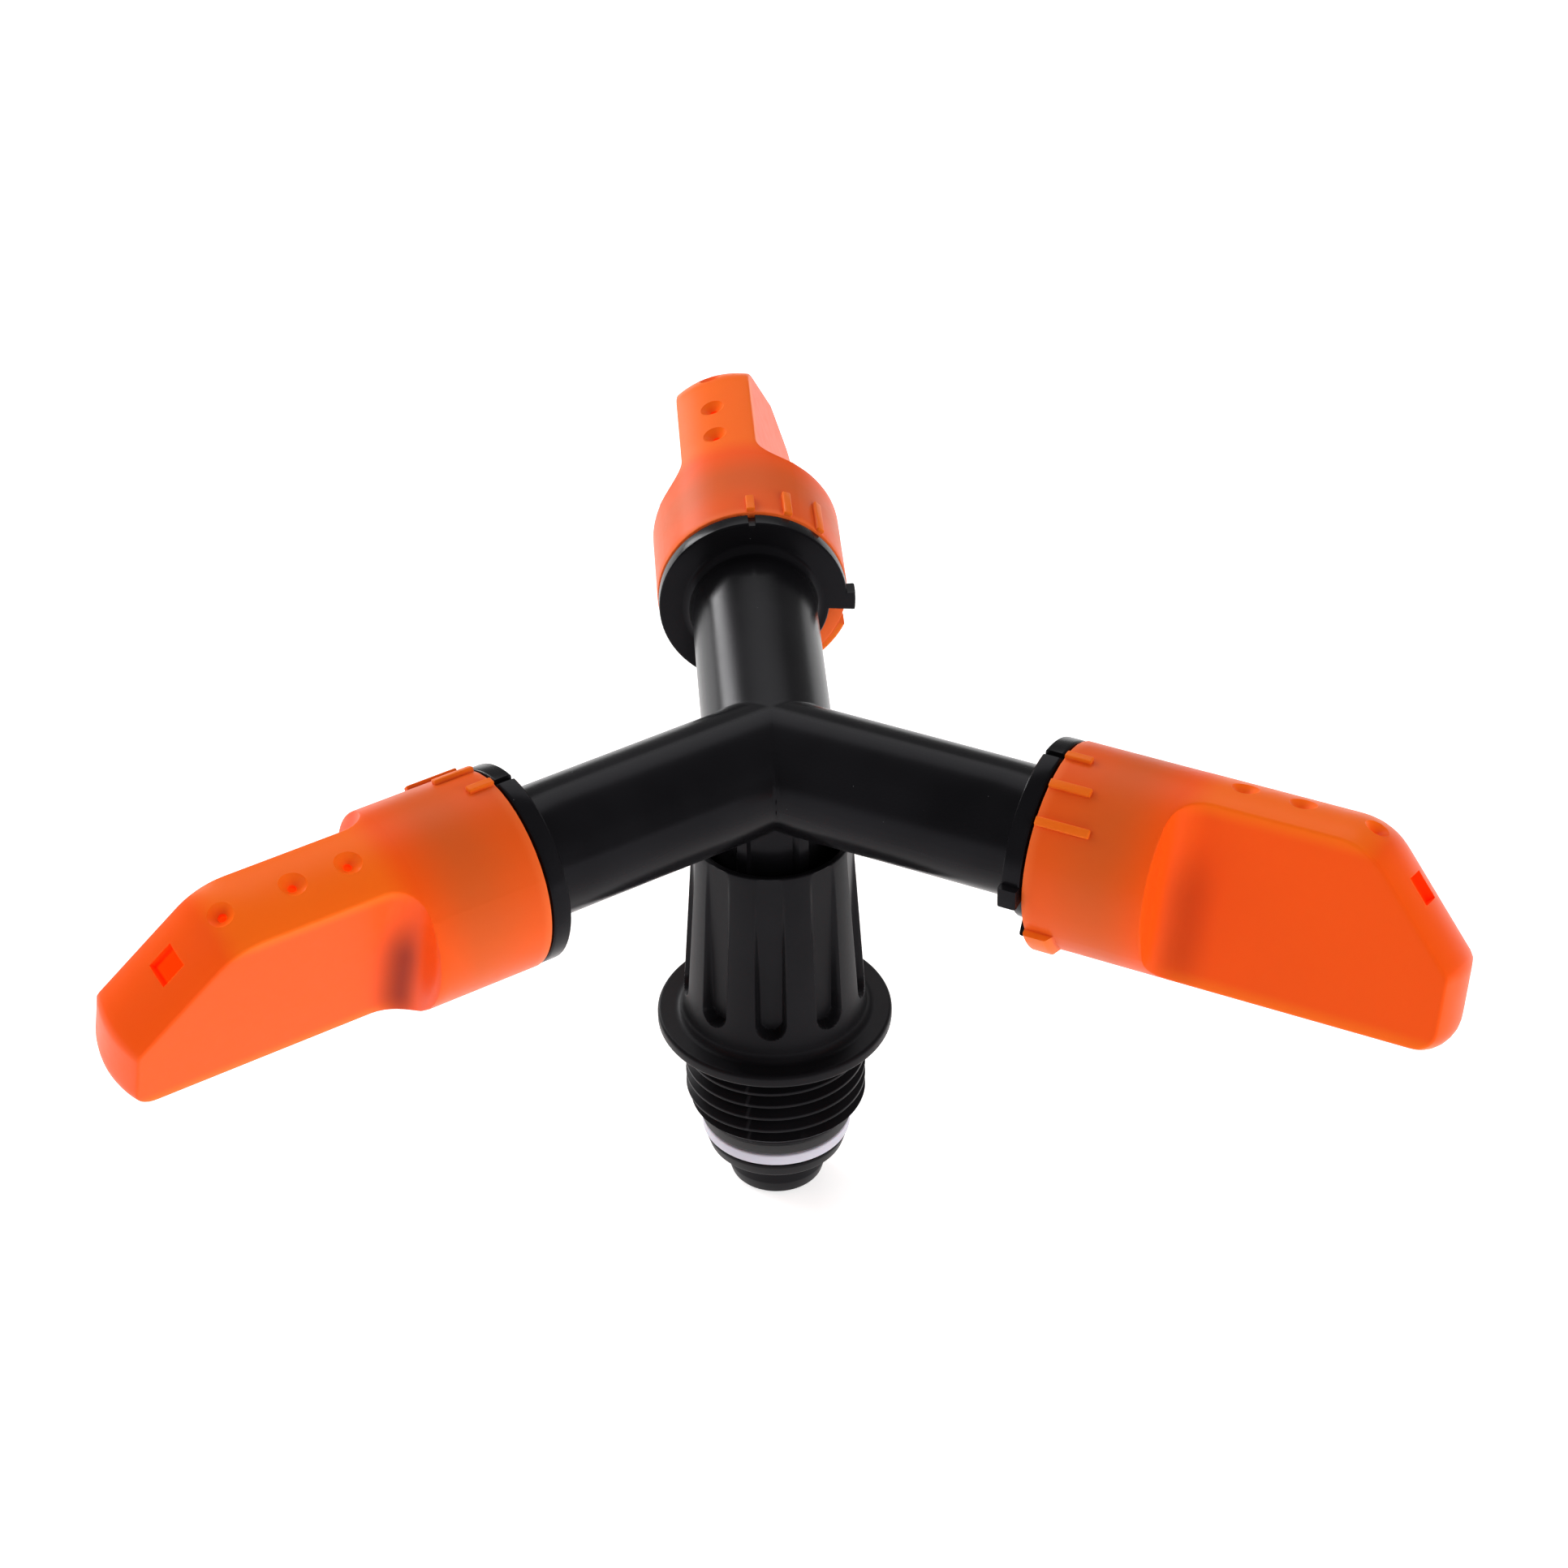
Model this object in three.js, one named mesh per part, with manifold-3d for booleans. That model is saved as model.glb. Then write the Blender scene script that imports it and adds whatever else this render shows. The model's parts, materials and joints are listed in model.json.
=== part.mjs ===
// Three-armed rotating garden sprinkler. Millimetres, +Z up.
// The origin lies on the stem axis, on the underside of the base flange.
import * as THREE from 'three';
import { mergeVertices } from 'three/addons/utils/BufferGeometryUtils.js';
import Module from 'manifold-3d';

const wasm = await Module();
wasm.setup();

// ---- driving dimensions -------------------------------------------------
const CLEARANCE = 0.3;            // gap between neighbouring pieces
const SEGMENTS = 28;              // facets round a large circle
const JET_SEGMENTS = 12;          // facets round a jet and its dimple
const SEAL_SIDES = 6;              // facets round the section of an O-ring

// hollow spindle, from its water bore outwards
const WATER_BORE_R = 3.7;
const SPINDLE_WALL = 1.2;         // upper length, inside the neck
const SPINDLE_SHOULDER = 0.96;    // step out to the journal
const SPINDLE_NOSE = 4.8;         // length showing under the nut
const NOSE_CHAMFER = 0.9;
const SPINDLE_TOP_GAP = 4.65;     // spindle's top, below the arm axes

// bearing and seals in the base
const BUSH_WALL = 1.14;
const BUSH_FLANGE_WIDTH = 1.4;
const BUSH_FLANGE_THICKNESS = 1.4;
const SEAL_RING_THICKNESS = 1.6;
const SEAL_RING_WIDTH = 1.25;
const NUT_THICKNESS = 2.0;
const NUT_WIDTH = 2.24;
const O_RING_R = 0.55;            // section radius of the stem seal
const O_RING_SPACE = 2.0;         // height of the room for it
const LEDGE_THICKNESS = 3.0;
const WASHER_THICKNESS = 1.2;
const WASHER_WIDTH = 1.7;

// threaded base
const SHANK_WALL = 1.72;
const SHANK_LENGTH = 12.0;
const SHANK_TIP_HEIGHT = 0.4;     // plain end below the lead-in chamfer
const LEAD_IN_HEIGHT = 1.4;
const THREAD_DEPTH = 1.16;
const THREAD_PITCH = 1.814;
const THREAD_TOP_GAP = 1.9;       // first turn below the flange
const THREAD_ROOT_WIDTH = 1.6;
const THREAD_CREST_WIDTH = 0.36;
const FLANGE_WIDTH = 2.94;
const FLANGE_THICKNESS = 1.5;
const BODY_HEIGHT = 24.5;
const BODY_FLARE = 1.6;           // radius gained from the mouth down to the flange
const MOUTH_DEPTH = 12.5;
const MOUTH_WALL = 0.7;
const MOUTH_CHAMFER = 0.3;
const FLUTE_COUNT = 9;
const FLUTE_WIDTH = 3.4;
const FLUTE_START = 3.0;          // above the flange
const FLUTE_TOP_DEPTH = 0.1;
const FLUTE_PHASE = -95.7;        // azimuth of the first flute, degrees

// neck under the hub
const NECK_WALL = 1.15;
const NECK_RIB_COUNT = 6;
const NECK_RIB_HEIGHT = 0.55;
const NECK_RIB_WIDTH = 1.7;
const NECK_RIB_PHASE = -63.13;    // azimuth of the first rib, degrees
const NECK_TO_MOUTH = 1.4;        // open ring round the neck
const HUB_GAP = 2.225;            // from the mouth up to the arms

// arms
const ARM_COUNT = 3;
const FIRST_ARM = 90;             // azimuth, degrees
const ARM_BORE_R = 5.4;
const TUBE_WALL = 1.925;
const ARM_REACH = 32.46;          // stem axis to the collar
const COLLAR_THICKNESS = 2.12;
const COLLAR_STEP = 0.11;         // collar rim inside the nozzle's surface
const COLLAR_FILLET = 1.1;
const NOTCH_WIDTH = 0.8;
const NOTCH_DEPTH = 0.4;
const TAB_HEIGHT = 0.95;
const TAB_ANGLES = [-96.4, -85];  // from the top, positive to the left looking outwards
const RELIEF_DEPTH = 2.1;         // lower part of the collar rim, past the tab
const RELIEF_ANGLES = [-150, -96.4];
const SPIGOT_WALL = 3.0;
const SPIGOT_LENGTH = 11.0;
const SPIGOT_GROOVE_DEPTH = 1.2;
const SPIGOT_GROOVE_WIDTH = 1.6;
const SPIGOT_GROOVE_START = 3.2;  // from the collar
const SNAP_HEIGHT = 0.5;          // bead that holds the nozzle on
const SNAP_WIDTH = 1.2;
const SNAP_START = 8.6;           // from the collar
const SPIGOT_SEAL_R = 0.42;

// spray nozzles
const NOZZLE_WALL = 2.49;
const BORE_END_GAP = 0.9;         // past the end of the spigot
const BORE_FLOOR = 1.9;           // wall between the bore and the shoulders of the slab
const SLAB_LENGTH = 31.8;
const SLAB_THICKNESS = 9.4;
const SLAB_WALL = 2.0;
const SHOULDER_FILLET = 3.2;
const RIDGE_LEAN = 16.9;          // ridge from the vertical, degrees
const TIP_TOP_DROP = 1.7;         // top of the blunt end, below the nozzle axis
const SLOPE_ANGLE = 47.9;
const CREST_R = 5.0;
const TIP_TOP_R = 1.2;
const TIP_BOTTOM_R = 3.0;
const JET_OFFSETS = [5.6, 12.0];  // from the start of the slab
const CREST_JET_TURN = 24;        // third jet, degrees round the crest
const JET_R = 0.45;
const DIMPLE_R = 1.45;
const DIMPLE_DEPTH = 1.0;
const WINDOW_DROP = 7.9;          // down the slope from the crest corner
const WINDOW_WIDTH = 3.1;
const WINDOW_LENGTH = 3.3;
const MARK_ANGLES = [0, -22.5, -45];
const MARK_LENGTHS = [3.0, 4.7, 6.1];
const MARK_WIDTH = 1.0;
const MARK_HEIGHT = 0.5;
const LUG_ANGLES = [-133, -111];
const LUG_HEIGHT = 1.1;
const LUG_LENGTH = 3.6;

// ---- sizes that follow --------------------------------------------------
const spindleUpperR = WATER_BORE_R + SPINDLE_WALL;
const spindleR = spindleUpperR + SPINDLE_SHOULDER;
const bushBoreR = spindleR + CLEARANCE;
const bushR = bushBoreR + BUSH_WALL;
const baseBoreR = bushR + CLEARANCE;
const threadRootR = baseBoreR + SHANK_WALL;
const threadR = threadRootR + THREAD_DEPTH;
const neckBoreR = spindleUpperR + CLEARANCE;
const neckR = neckBoreR + NECK_WALL;
const mouthR = neckR + NECK_RIB_HEIGHT + NECK_TO_MOUTH;
const bodyTopR = mouthR + MOUTH_WALL;
const bodyBottomR = bodyTopR + BODY_FLARE;
const flangeR = Math.max(bodyBottomR, threadR) + FLANGE_WIDTH;

const bodyTopZ = FLANGE_THICKNESS + BODY_HEIGHT;
const mouthFloorZ = bodyTopZ - MOUTH_DEPTH;
const ledgeZ = mouthFloorZ - LEDGE_THICKNESS;
const sealTopZ = -SHANK_LENGTH - CLEARANCE;
const bushFlangeTopZ = sealTopZ - SEAL_RING_THICKNESS - CLEARANCE;
const nutTopZ = bushFlangeTopZ - BUSH_FLANGE_THICKNESS - CLEARANCE;
const nutBottomZ = nutTopZ - NUT_THICKNESS;
const noseZ = nutBottomZ - SPINDLE_NOSE;
const washerZ = mouthFloorZ + CLEARANCE;
const neckBottomZ = washerZ + WASHER_THICKNESS + CLEARANCE;

const tubeR = ARM_BORE_R + TUBE_WALL;
const armZ = bodyTopZ + HUB_GAP + tubeR;
const spindleTopZ = armZ - SPINDLE_TOP_GAP;
const spigotR = ARM_BORE_R + SPIGOT_WALL;
const nozzleBoreR = spigotR + CLEARANCE;
const nozzleR = nozzleBoreR + NOZZLE_WALL;
const collarR = nozzleR - COLLAR_STEP;
const collarEnd = ARM_REACH + COLLAR_THICKNESS;
const nozzleStart = collarEnd + CLEARANCE;
const nozzleBoreEnd = collarEnd + SPIGOT_LENGTH + BORE_END_GAP;
const slabStart = nozzleBoreEnd + BORE_FLOOR;
const tipS = slabStart + SLAB_LENGTH;

// ---- geometry helpers ---------------------------------------------------
const rad = THREE.MathUtils.degToRad;
const ALONG_Z = new THREE.Matrix4().makeRotationX(Math.PI / 2);
const ALONG_X = new THREE.Matrix4().makeRotationZ(-Math.PI / 2);
// a shape drawn as (left, up) and extruded outwards along an arm
const OUTWARDS = new THREE.Matrix4().makeBasis(
  new THREE.Vector3(0, 1, 0), new THREE.Vector3(0, 0, 1), new THREE.Vector3(1, 0, 0));
// a shape drawn as (outwards, up) and extruded sideways
const SIDEWAYS = new THREE.Matrix4().makeRotationX(Math.PI / 2);

function solidOf(geometry, ...matrices) {
  const bare = geometry.clone();
  for (const name of Object.keys(bare.attributes)) {
    if (name !== 'position') bare.deleteAttribute(name);
  }
  for (const matrix of matrices) bare.applyMatrix4(matrix);
  const merged = mergeVertices(bare, 1e-4);
  const index = merged.index.array;
  const triangles = [];
  for (let i = 0; i < index.length; i += 3) {
    const [a, b, c] = [index[i], index[i + 1], index[i + 2]];
    if (a !== b && b !== c && c !== a) triangles.push(a, b, c);
  }
  return new wasm.Manifold(new wasm.Mesh({
    numProp: 3,
    vertProperties: new Float32Array(merged.attributes.position.array),
    triVerts: new Uint32Array(triangles),
  }));
}

function geometryOf(solid) {
  const mesh = solid.getMesh();
  const geometry = new THREE.BufferGeometry();
  geometry.setAttribute('position', new THREE.BufferAttribute(mesh.vertProperties, 3));
  geometry.setIndex(new THREE.BufferAttribute(mesh.triVerts, 1));
  geometry.computeVertexNormals();
  return geometry;
}

// A closed outline of [radius, height] pairs, turned about the height axis.
function turned(outline, axis = ALONG_Z, segments = SEGMENTS) {
  const points = [...outline, outline[0]].map(([r, h]) => new THREE.Vector2(r, h));
  return solidOf(new THREE.LatheGeometry(points, segments), axis);
}

function cylinder(radius, from, to, axis = ALONG_Z, segments = SEGMENTS) {
  return turned([[0, from], [radius, from], [radius, to], [0, to]], axis, segments);
}

function ring(innerR, outerR, from, to) {
  return turned([[innerR, from], [outerR, from], [outerR, to], [innerR, to]]);
}

function torus(centreR, sectionR, height, axis = ALONG_Z) {
  const outline = [];
  for (let i = 0; i < SEAL_SIDES; i += 1) {
    const angle = (i / SEAL_SIDES) * Math.PI * 2;
    outline.push([centreR + sectionR * Math.cos(angle), height + sectionR * Math.sin(angle)]);
  }
  return turned(outline, axis);
}

function extruded(shape, depth, ...matrices) {
  return solidOf(new THREE.ExtrudeGeometry(shape, { depth, bevelEnabled: false }), ...matrices);
}

// Corners [x, y, radius] joined by straight lines, with each corner rounded.
function roundedShape(corners) {
  const shape = new THREE.Shape();
  corners.forEach(([x, y, radius = 0], i) => {
    const corner = new THREE.Vector2(x, y);
    const towards = (j) => {
      const other = corners[(j + corners.length) % corners.length];
      return new THREE.Vector2(other[0], other[1]).sub(corner).normalize();
    };
    const [back, ahead] = [towards(i - 1), towards(i + 1)];
    const halfAngle = Math.acos(THREE.MathUtils.clamp(back.dot(ahead), -1, 1)) / 2;
    const reach = radius / Math.tan(halfAngle);
    const middle = back.clone().add(ahead).normalize().multiplyScalar(radius / Math.sin(halfAngle));
    const centre = corner.clone().add(middle);
    const steps = radius > 0 ? 6 : 0;
    const start = corner.clone().addScaledVector(back, reach).sub(centre);
    const end = corner.clone().addScaledVector(ahead, reach).sub(centre);
    const sweep = Math.atan2(start.cross(end), start.dot(end));
    for (let k = 0; k <= steps; k += 1) {
      const spoke = start.clone().rotateAround(new THREE.Vector2(), steps ? (sweep * k) / steps : 0);
      const point = centre.clone().add(spoke);
      if (i === 0 && k === 0) shape.moveTo(point.x, point.y);
      else shape.lineTo(point.x, point.y);
    }
  });
  return shape;
}

// A sector of a ring seen along an arm; angles run from the top towards the left.
function ringSector(innerR, outerR, [fromAngle, toAngle]) {
  const shape = new THREE.Shape();
  const at = (angle) => rad(90 - angle);
  shape.absarc(0, 0, outerR, at(toAngle), at(fromAngle), false);
  shape.absarc(0, 0, innerR, at(fromAngle), at(toAngle), true);
  return new THREE.Shape(shape.getPoints(6));
}

function joined(solids) {
  return solids.reduce((whole, solid) => whole.add(solid));
}

function cut(solid, cutters) {
  return cutters.reduce((rest, cutter) => rest.subtract(cutter), solid);
}

// ---- threaded base ------------------------------------------------------
class Helix extends THREE.Curve {
  constructor(radius, pitch, startZ, endZ) {
    super();
    Object.assign(this, { radius, startZ, rise: endZ - startZ });
    this.sweep = (this.rise / pitch) * Math.PI * 2;
  }

  getPoint(t) {
    const angle = this.sweep * t;
    return new THREE.Vector3(
      this.radius * Math.cos(angle), this.radius * Math.sin(angle), this.startZ + this.rise * t);
  }

  getPointAt(t) {
    return this.getPoint(t);
  }

  // keeps the section upright and square to the stem all the way round
  computeFrenetFrames(steps) {
    const frames = { tangents: [], normals: [], binormals: [] };
    for (let i = 0; i <= steps; i += 1) {
      const angle = (this.sweep * i) / steps;
      frames.tangents.push(new THREE.Vector3(-Math.sin(angle), Math.cos(angle), 0));
      frames.normals.push(new THREE.Vector3(Math.cos(angle), Math.sin(angle), 0));
      frames.binormals.push(new THREE.Vector3(0, 0, -1));
    }
    return frames;
  }
}

function threadRidge() {
  const root = THREAD_ROOT_WIDTH / 2;
  const crest = THREAD_CREST_WIDTH / 2;
  const buried = 0.2;
  const section = new THREE.Shape([
    new THREE.Vector2(-buried, -root), new THREE.Vector2(0, -root), new THREE.Vector2(THREAD_DEPTH, -crest),
    new THREE.Vector2(THREAD_DEPTH, crest), new THREE.Vector2(0, root), new THREE.Vector2(-buried, root)]);
  // whole steps of the same turn as the stem's facets, so that the two line up
  const stepRise = THREAD_PITCH / SEGMENTS;
  const steps = Math.floor((SHANK_LENGTH - THREAD_TOP_GAP) / stepRise);
  const path = new Helix(threadRootR, THREAD_PITCH, -SHANK_LENGTH, steps * stepRise - SHANK_LENGTH);
  return solidOf(new THREE.ExtrudeGeometry(section, { steps, extrudePath: path, bevelEnabled: false }));
}

function fluteCutter(azimuth) {
  const half = FLUTE_WIDTH / 2;
  const shape = new THREE.Shape();
  shape.moveTo(half, BODY_HEIGHT + 1);
  shape.lineTo(-half, BODY_HEIGHT + 1);
  shape.lineTo(-half, FLUTE_START + half);
  shape.absarc(0, FLUTE_START + half, half, Math.PI, Math.PI * 2, false);
  const outline = new THREE.Shape(shape.getPoints(5));
  const place = new THREE.Matrix4().makeTranslation(bodyTopR - FLUTE_TOP_DEPTH, 0, FLANGE_THICKNESS);
  return extruded(outline, flangeR, OUTWARDS, place, new THREE.Matrix4().makeRotationZ(rad(azimuth)));
}

function baseBody() {
  const leadInZ = -SHANK_LENGTH + SHANK_TIP_HEIGHT;
  const envelope = cylinder(threadR + 1, -SHANK_LENGTH, bodyTopZ).subtract(turned([
    [threadRootR, -SHANK_LENGTH - 1], [threadR + 2, -SHANK_LENGTH - 1],
    [threadR + 2, leadInZ + LEAD_IN_HEIGHT], [threadR, leadInZ + LEAD_IN_HEIGHT], [threadRootR, leadInZ]]));
  const shank = cylinder(threadRootR, -SHANK_LENGTH, FLANGE_THICKNESS);
  const thread = threadRidge().intersect(envelope);
  const upper = turned([
    [0, 0], [flangeR, 0], [flangeR, FLANGE_THICKNESS], [bodyBottomR, FLANGE_THICKNESS],
    [bodyTopR, bodyTopZ - MOUTH_CHAMFER], [bodyTopR - MOUTH_CHAMFER, bodyTopZ], [0, bodyTopZ]]);
  const flutes = Array.from({ length: FLUTE_COUNT },
    (_, i) => fluteCutter(FLUTE_PHASE + (360 / FLUTE_COUNT) * i));
  return cut(joined([shank, thread, upper]), [
    ...flutes,
    cylinder(baseBoreR, -SHANK_LENGTH - 1, ledgeZ),
    cylinder(bushBoreR, ledgeZ - 1, bodyTopZ),
    cylinder(mouthR, mouthFloorZ, bodyTopZ + 1)]);
}

function flangedBush() {
  const sleeveTopZ = ledgeZ - O_RING_SPACE;
  const bottomZ = bushFlangeTopZ - BUSH_FLANGE_THICKNESS;
  const bushFlangeR = bushR + BUSH_FLANGE_WIDTH;
  return turned([
    [bushBoreR, bottomZ], [bushFlangeR, bottomZ], [bushFlangeR, bushFlangeTopZ], [bushR, bushFlangeTopZ],
    [bushR, sleeveTopZ], [bushBoreR, sleeveTopZ]]);
}

function sealRing() {
  return ring(baseBoreR, baseBoreR + SEAL_RING_WIDTH, sealTopZ - SEAL_RING_THICKNESS, sealTopZ);
}

function stemSeal() {
  return torus(bushBoreR + O_RING_R, O_RING_R, ledgeZ - O_RING_SPACE / 2);
}

function upperWasher() {
  return ring(bushBoreR, bushBoreR + WASHER_WIDTH, washerZ, washerZ + WASHER_THICKNESS);
}

// ---- rotor --------------------------------------------------------------
function spindleTube() {
  const shoulderZ = neckBottomZ - CLEARANCE;
  return turned([
    [WATER_BORE_R, noseZ], [spindleR - NOSE_CHAMFER, noseZ], [spindleR, noseZ + NOSE_CHAMFER],
    [spindleR, shoulderZ], [spindleUpperR, shoulderZ], [spindleUpperR, spindleTopZ],
    [WATER_BORE_R, spindleTopZ]]);
}

function retainingNut() {
  return ring(spindleR + CLEARANCE, spindleR + CLEARANCE + NUT_WIDTH, nutBottomZ, nutTopZ);
}

function armSolid() {
  const grooveStart = collarEnd + SPIGOT_GROOVE_START;
  const grooveEnd = grooveStart + SPIGOT_GROOVE_WIDTH;
  const grooveR = spigotR - SPIGOT_GROOVE_DEPTH;
  const snapStart = collarEnd + SNAP_START;
  const spigotEnd = collarEnd + SPIGOT_LENGTH;
  const outer = turned([
    [0, 0], [tubeR, 0], [tubeR, ARM_REACH - COLLAR_FILLET], [tubeR + COLLAR_FILLET, ARM_REACH],
    [collarR, ARM_REACH], [collarR, collarEnd], [spigotR, collarEnd],
    [spigotR, grooveStart], [grooveR, grooveStart], [grooveR, grooveEnd], [spigotR, grooveEnd],
    [spigotR, snapStart - SNAP_HEIGHT], [spigotR + SNAP_HEIGHT, snapStart],
    [spigotR + SNAP_HEIGHT, snapStart + SNAP_WIDTH], [spigotR, snapStart + SNAP_WIDTH + SNAP_HEIGHT],
    [spigotR, spigotEnd], [0, spigotEnd]], ALONG_X);
  const atCollar = new THREE.Matrix4().makeTranslation(ARM_REACH, 0, 0);
  const beforeCollar = new THREE.Matrix4().makeTranslation(ARM_REACH - 1, 0, 0);
  const tabSector = ringSector(collarR - 1, collarR + TAB_HEIGHT, TAB_ANGLES);
  const tab = extruded(tabSector, COLLAR_THICKNESS, OUTWARDS, atCollar);
  const reliefSector = ringSector(collarR - RELIEF_DEPTH, collarR + 2, RELIEF_ANGLES);
  const relief = extruded(reliefSector, COLLAR_THICKNESS + 2, OUTWARDS, beforeCollar);
  const notch = solidOf(new THREE.BoxGeometry(COLLAR_THICKNESS + 1, NOTCH_WIDTH, NOTCH_DEPTH * 2),
    new THREE.Matrix4().makeTranslation(ARM_REACH + COLLAR_THICKNESS / 2, 0, collarR));
  return cut(outer.add(tab), [relief, notch]);
}

function rotorSpider() {
  const arm = armSolid();
  const arms = [];
  const bores = [];
  for (let i = 0; i < ARM_COUNT; i += 1) {
    const place = new THREE.Matrix4().makeTranslation(0, 0, armZ)
      .multiply(new THREE.Matrix4().makeRotationZ(rad(FIRST_ARM + (360 / ARM_COUNT) * i)));
    arms.push(arm.transform(place.elements));
    bores.push(cylinder(ARM_BORE_R, 0, tipS, ALONG_X).transform(place.elements));
  }
  const neck = cylinder(neckR, neckBottomZ, armZ);
  const ribReach = neckR + NECK_RIB_HEIGHT;
  const ribBox = new THREE.BoxGeometry(ribReach, NECK_RIB_WIDTH, armZ - neckBottomZ);
  const toRim = new THREE.Matrix4().makeTranslation(ribReach / 2, 0, (armZ + neckBottomZ) / 2);
  const ribs = Array.from({ length: NECK_RIB_COUNT }, (_, i) => solidOf(ribBox, toRim,
    new THREE.Matrix4().makeRotationZ(rad(NECK_RIB_PHASE + (360 / NECK_RIB_COUNT) * i))));
  const socket = cylinder(neckBoreR, neckBottomZ - 1, armZ);
  return cut(joined([...arms, neck, ...ribs]), [...bores, socket]);
}

function spigotSeal() {
  const grooveMiddle = collarEnd + SPIGOT_GROOVE_START + SPIGOT_GROOVE_WIDTH / 2;
  const grooveR = spigotR - SPIGOT_GROOVE_DEPTH;
  return torus(grooveR + CLEARANCE + SPIGOT_SEAL_R, SPIGOT_SEAL_R, grooveMiddle, ALONG_X);
}

// ---- nozzles ------------------------------------------------------------
// Built with its axis along X and its ridge upwards.
function sideOutline(inset, startS) {
  const slope = rad(SLOPE_ANGLE);
  const top = nozzleR - inset;
  const end = tipS - inset;
  const endTop = -TIP_TOP_DROP - inset * Math.tan(slope / 2);
  const crest = end - (top - endTop) / Math.tan(slope);
  const round = (radius) => Math.max(radius - inset, 0.3);
  return roundedShape([
    [startS, -top], [end, -top, round(TIP_BOTTOM_R)], [end, endTop, round(TIP_TOP_R)],
    [crest, top, round(CREST_R)], [startS, top]]);
}

function slabCutter(side) {
  const floor = SLAB_THICKNESS / 2;
  const outside = nozzleR + 1;
  const shape = roundedShape([
    [slabStart, outside], [slabStart, floor, SHOULDER_FILLET], [tipS + 1, floor], [tipS + 1, outside]]);
  const cutter = extruded(shape, outside * 2, new THREE.Matrix4().makeTranslation(0, 0, -outside));
  return side > 0 ? cutter : cutter.mirror([0, 1, 0]);
}

function jetCutter(s, v, tilt) {
  const bottom = -2 * SLAB_WALL;
  const outline = [
    [0, bottom], [JET_R, bottom], [JET_R, -DIMPLE_DEPTH], [DIMPLE_R, 0], [DIMPLE_R, 1], [0, 1]];
  const tilted = new THREE.Matrix4().makeRotationY(rad(tilt));
  const place = new THREE.Matrix4().makeTranslation(s, 0, v).multiply(tilted);
  return turned(outline, ALONG_Z, JET_SEGMENTS).transform(place.elements);
}

function outletCutters() {
  const slope = rad(SLOPE_ANGLE);
  const crestS = tipS - (nozzleR + TIP_TOP_DROP) / Math.tan(slope);
  const arcStart = crestS - CREST_R * Math.tan(slope / 2);
  const turn = rad(CREST_JET_TURN);
  const jetS = arcStart + CREST_R * Math.sin(turn);
  const jetV = nozzleR - CREST_R * (1 - Math.cos(turn));
  const crestJet = jetCutter(jetS, jetV, CREST_JET_TURN);
  const windowS = crestS + WINDOW_DROP * Math.cos(slope);
  const windowV = nozzleR - WINDOW_DROP * Math.sin(slope);
  const window = solidOf(new THREE.BoxGeometry(WINDOW_LENGTH, WINDOW_WIDTH, SLAB_WALL * 4),
    new THREE.Matrix4().makeRotationY(slope), new THREE.Matrix4().makeTranslation(windowS, 0, windowV));
  return [...JET_OFFSETS.map((offset) => jetCutter(slabStart + offset, nozzleR, 0)), crestJet, window];
}

function nozzleCavity() {
  const snapStart = collarEnd + SNAP_START - SNAP_HEIGHT;
  const snapEnd = snapStart + SNAP_WIDTH + SNAP_HEIGHT * 2;
  const bore = turned([
    [0, nozzleStart - 1], [nozzleBoreR, nozzleStart - 1], [nozzleBoreR, snapStart - CLEARANCE],
    [nozzleBoreR + SNAP_HEIGHT, snapStart + SNAP_HEIGHT - CLEARANCE],
    [nozzleBoreR + SNAP_HEIGHT, snapEnd - SNAP_HEIGHT + CLEARANCE], [nozzleBoreR, snapEnd + CLEARANCE],
    [nozzleBoreR, nozzleBoreEnd], [0, nozzleBoreEnd]], ALONG_X);
  const halfWidth = SLAB_THICKNESS / 2 - SLAB_WALL;
  const slotStart = nozzleBoreEnd - BORE_FLOOR;
  const slot = extruded(sideOutline(SLAB_WALL, slotStart), halfWidth * 2, SIDEWAYS,
    new THREE.Matrix4().makeTranslation(0, halfWidth, 0));
  return bore.add(slot.intersect(cylinder(nozzleR - SLAB_WALL, slotStart, tipS, ALONG_X)));
}

function nozzleMarks() {
  return MARK_ANGLES.map((angle, i) => solidOf(
    new THREE.BoxGeometry(MARK_LENGTHS[i], MARK_WIDTH, MARK_HEIGHT * 2),
    new THREE.Matrix4().makeTranslation(nozzleStart + MARK_LENGTHS[i] / 2, 0, nozzleR),
    new THREE.Matrix4().makeRotationX(rad(RIDGE_LEAN - angle))));
}

function nozzleSolid() {
  const width = nozzleR + 1;
  const side = extruded(sideOutline(0, nozzleStart), width * 2, SIDEWAYS,
    new THREE.Matrix4().makeTranslation(0, width, 0));
  const round = cylinder(nozzleR, nozzleStart, tipS, ALONG_X);
  const lugSector = ringSector(nozzleR - 1, nozzleR + LUG_HEIGHT, LUG_ANGLES);
  const atRim = new THREE.Matrix4().makeTranslation(nozzleStart, 0, 0);
  const upright = new THREE.Matrix4().makeRotationX(rad(RIDGE_LEAN));
  const lug = extruded(lugSector, LUG_LENGTH, OUTWARDS, atRim, upright);
  const outer = cut(round.intersect(side), [slabCutter(1), slabCutter(-1)]);
  return cut(joined([outer, lug, ...nozzleMarks()]), [nozzleCavity(), ...outletCutters()]);
}

// ---- assembly -----------------------------------------------------------
const plastic = (color, roughness) => new THREE.MeshStandardMaterial({ color, roughness, metalness: 0 });
const blackPlastic = (roughness) => plastic(0x26272b, roughness);
const rubber = () => plastic(0x151517, 0.7);
const whitePlastic = () => plastic(0xdadae2, 0.45);
const orangePlastic = () => plastic(0xe85a1e, 0.3);

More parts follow.
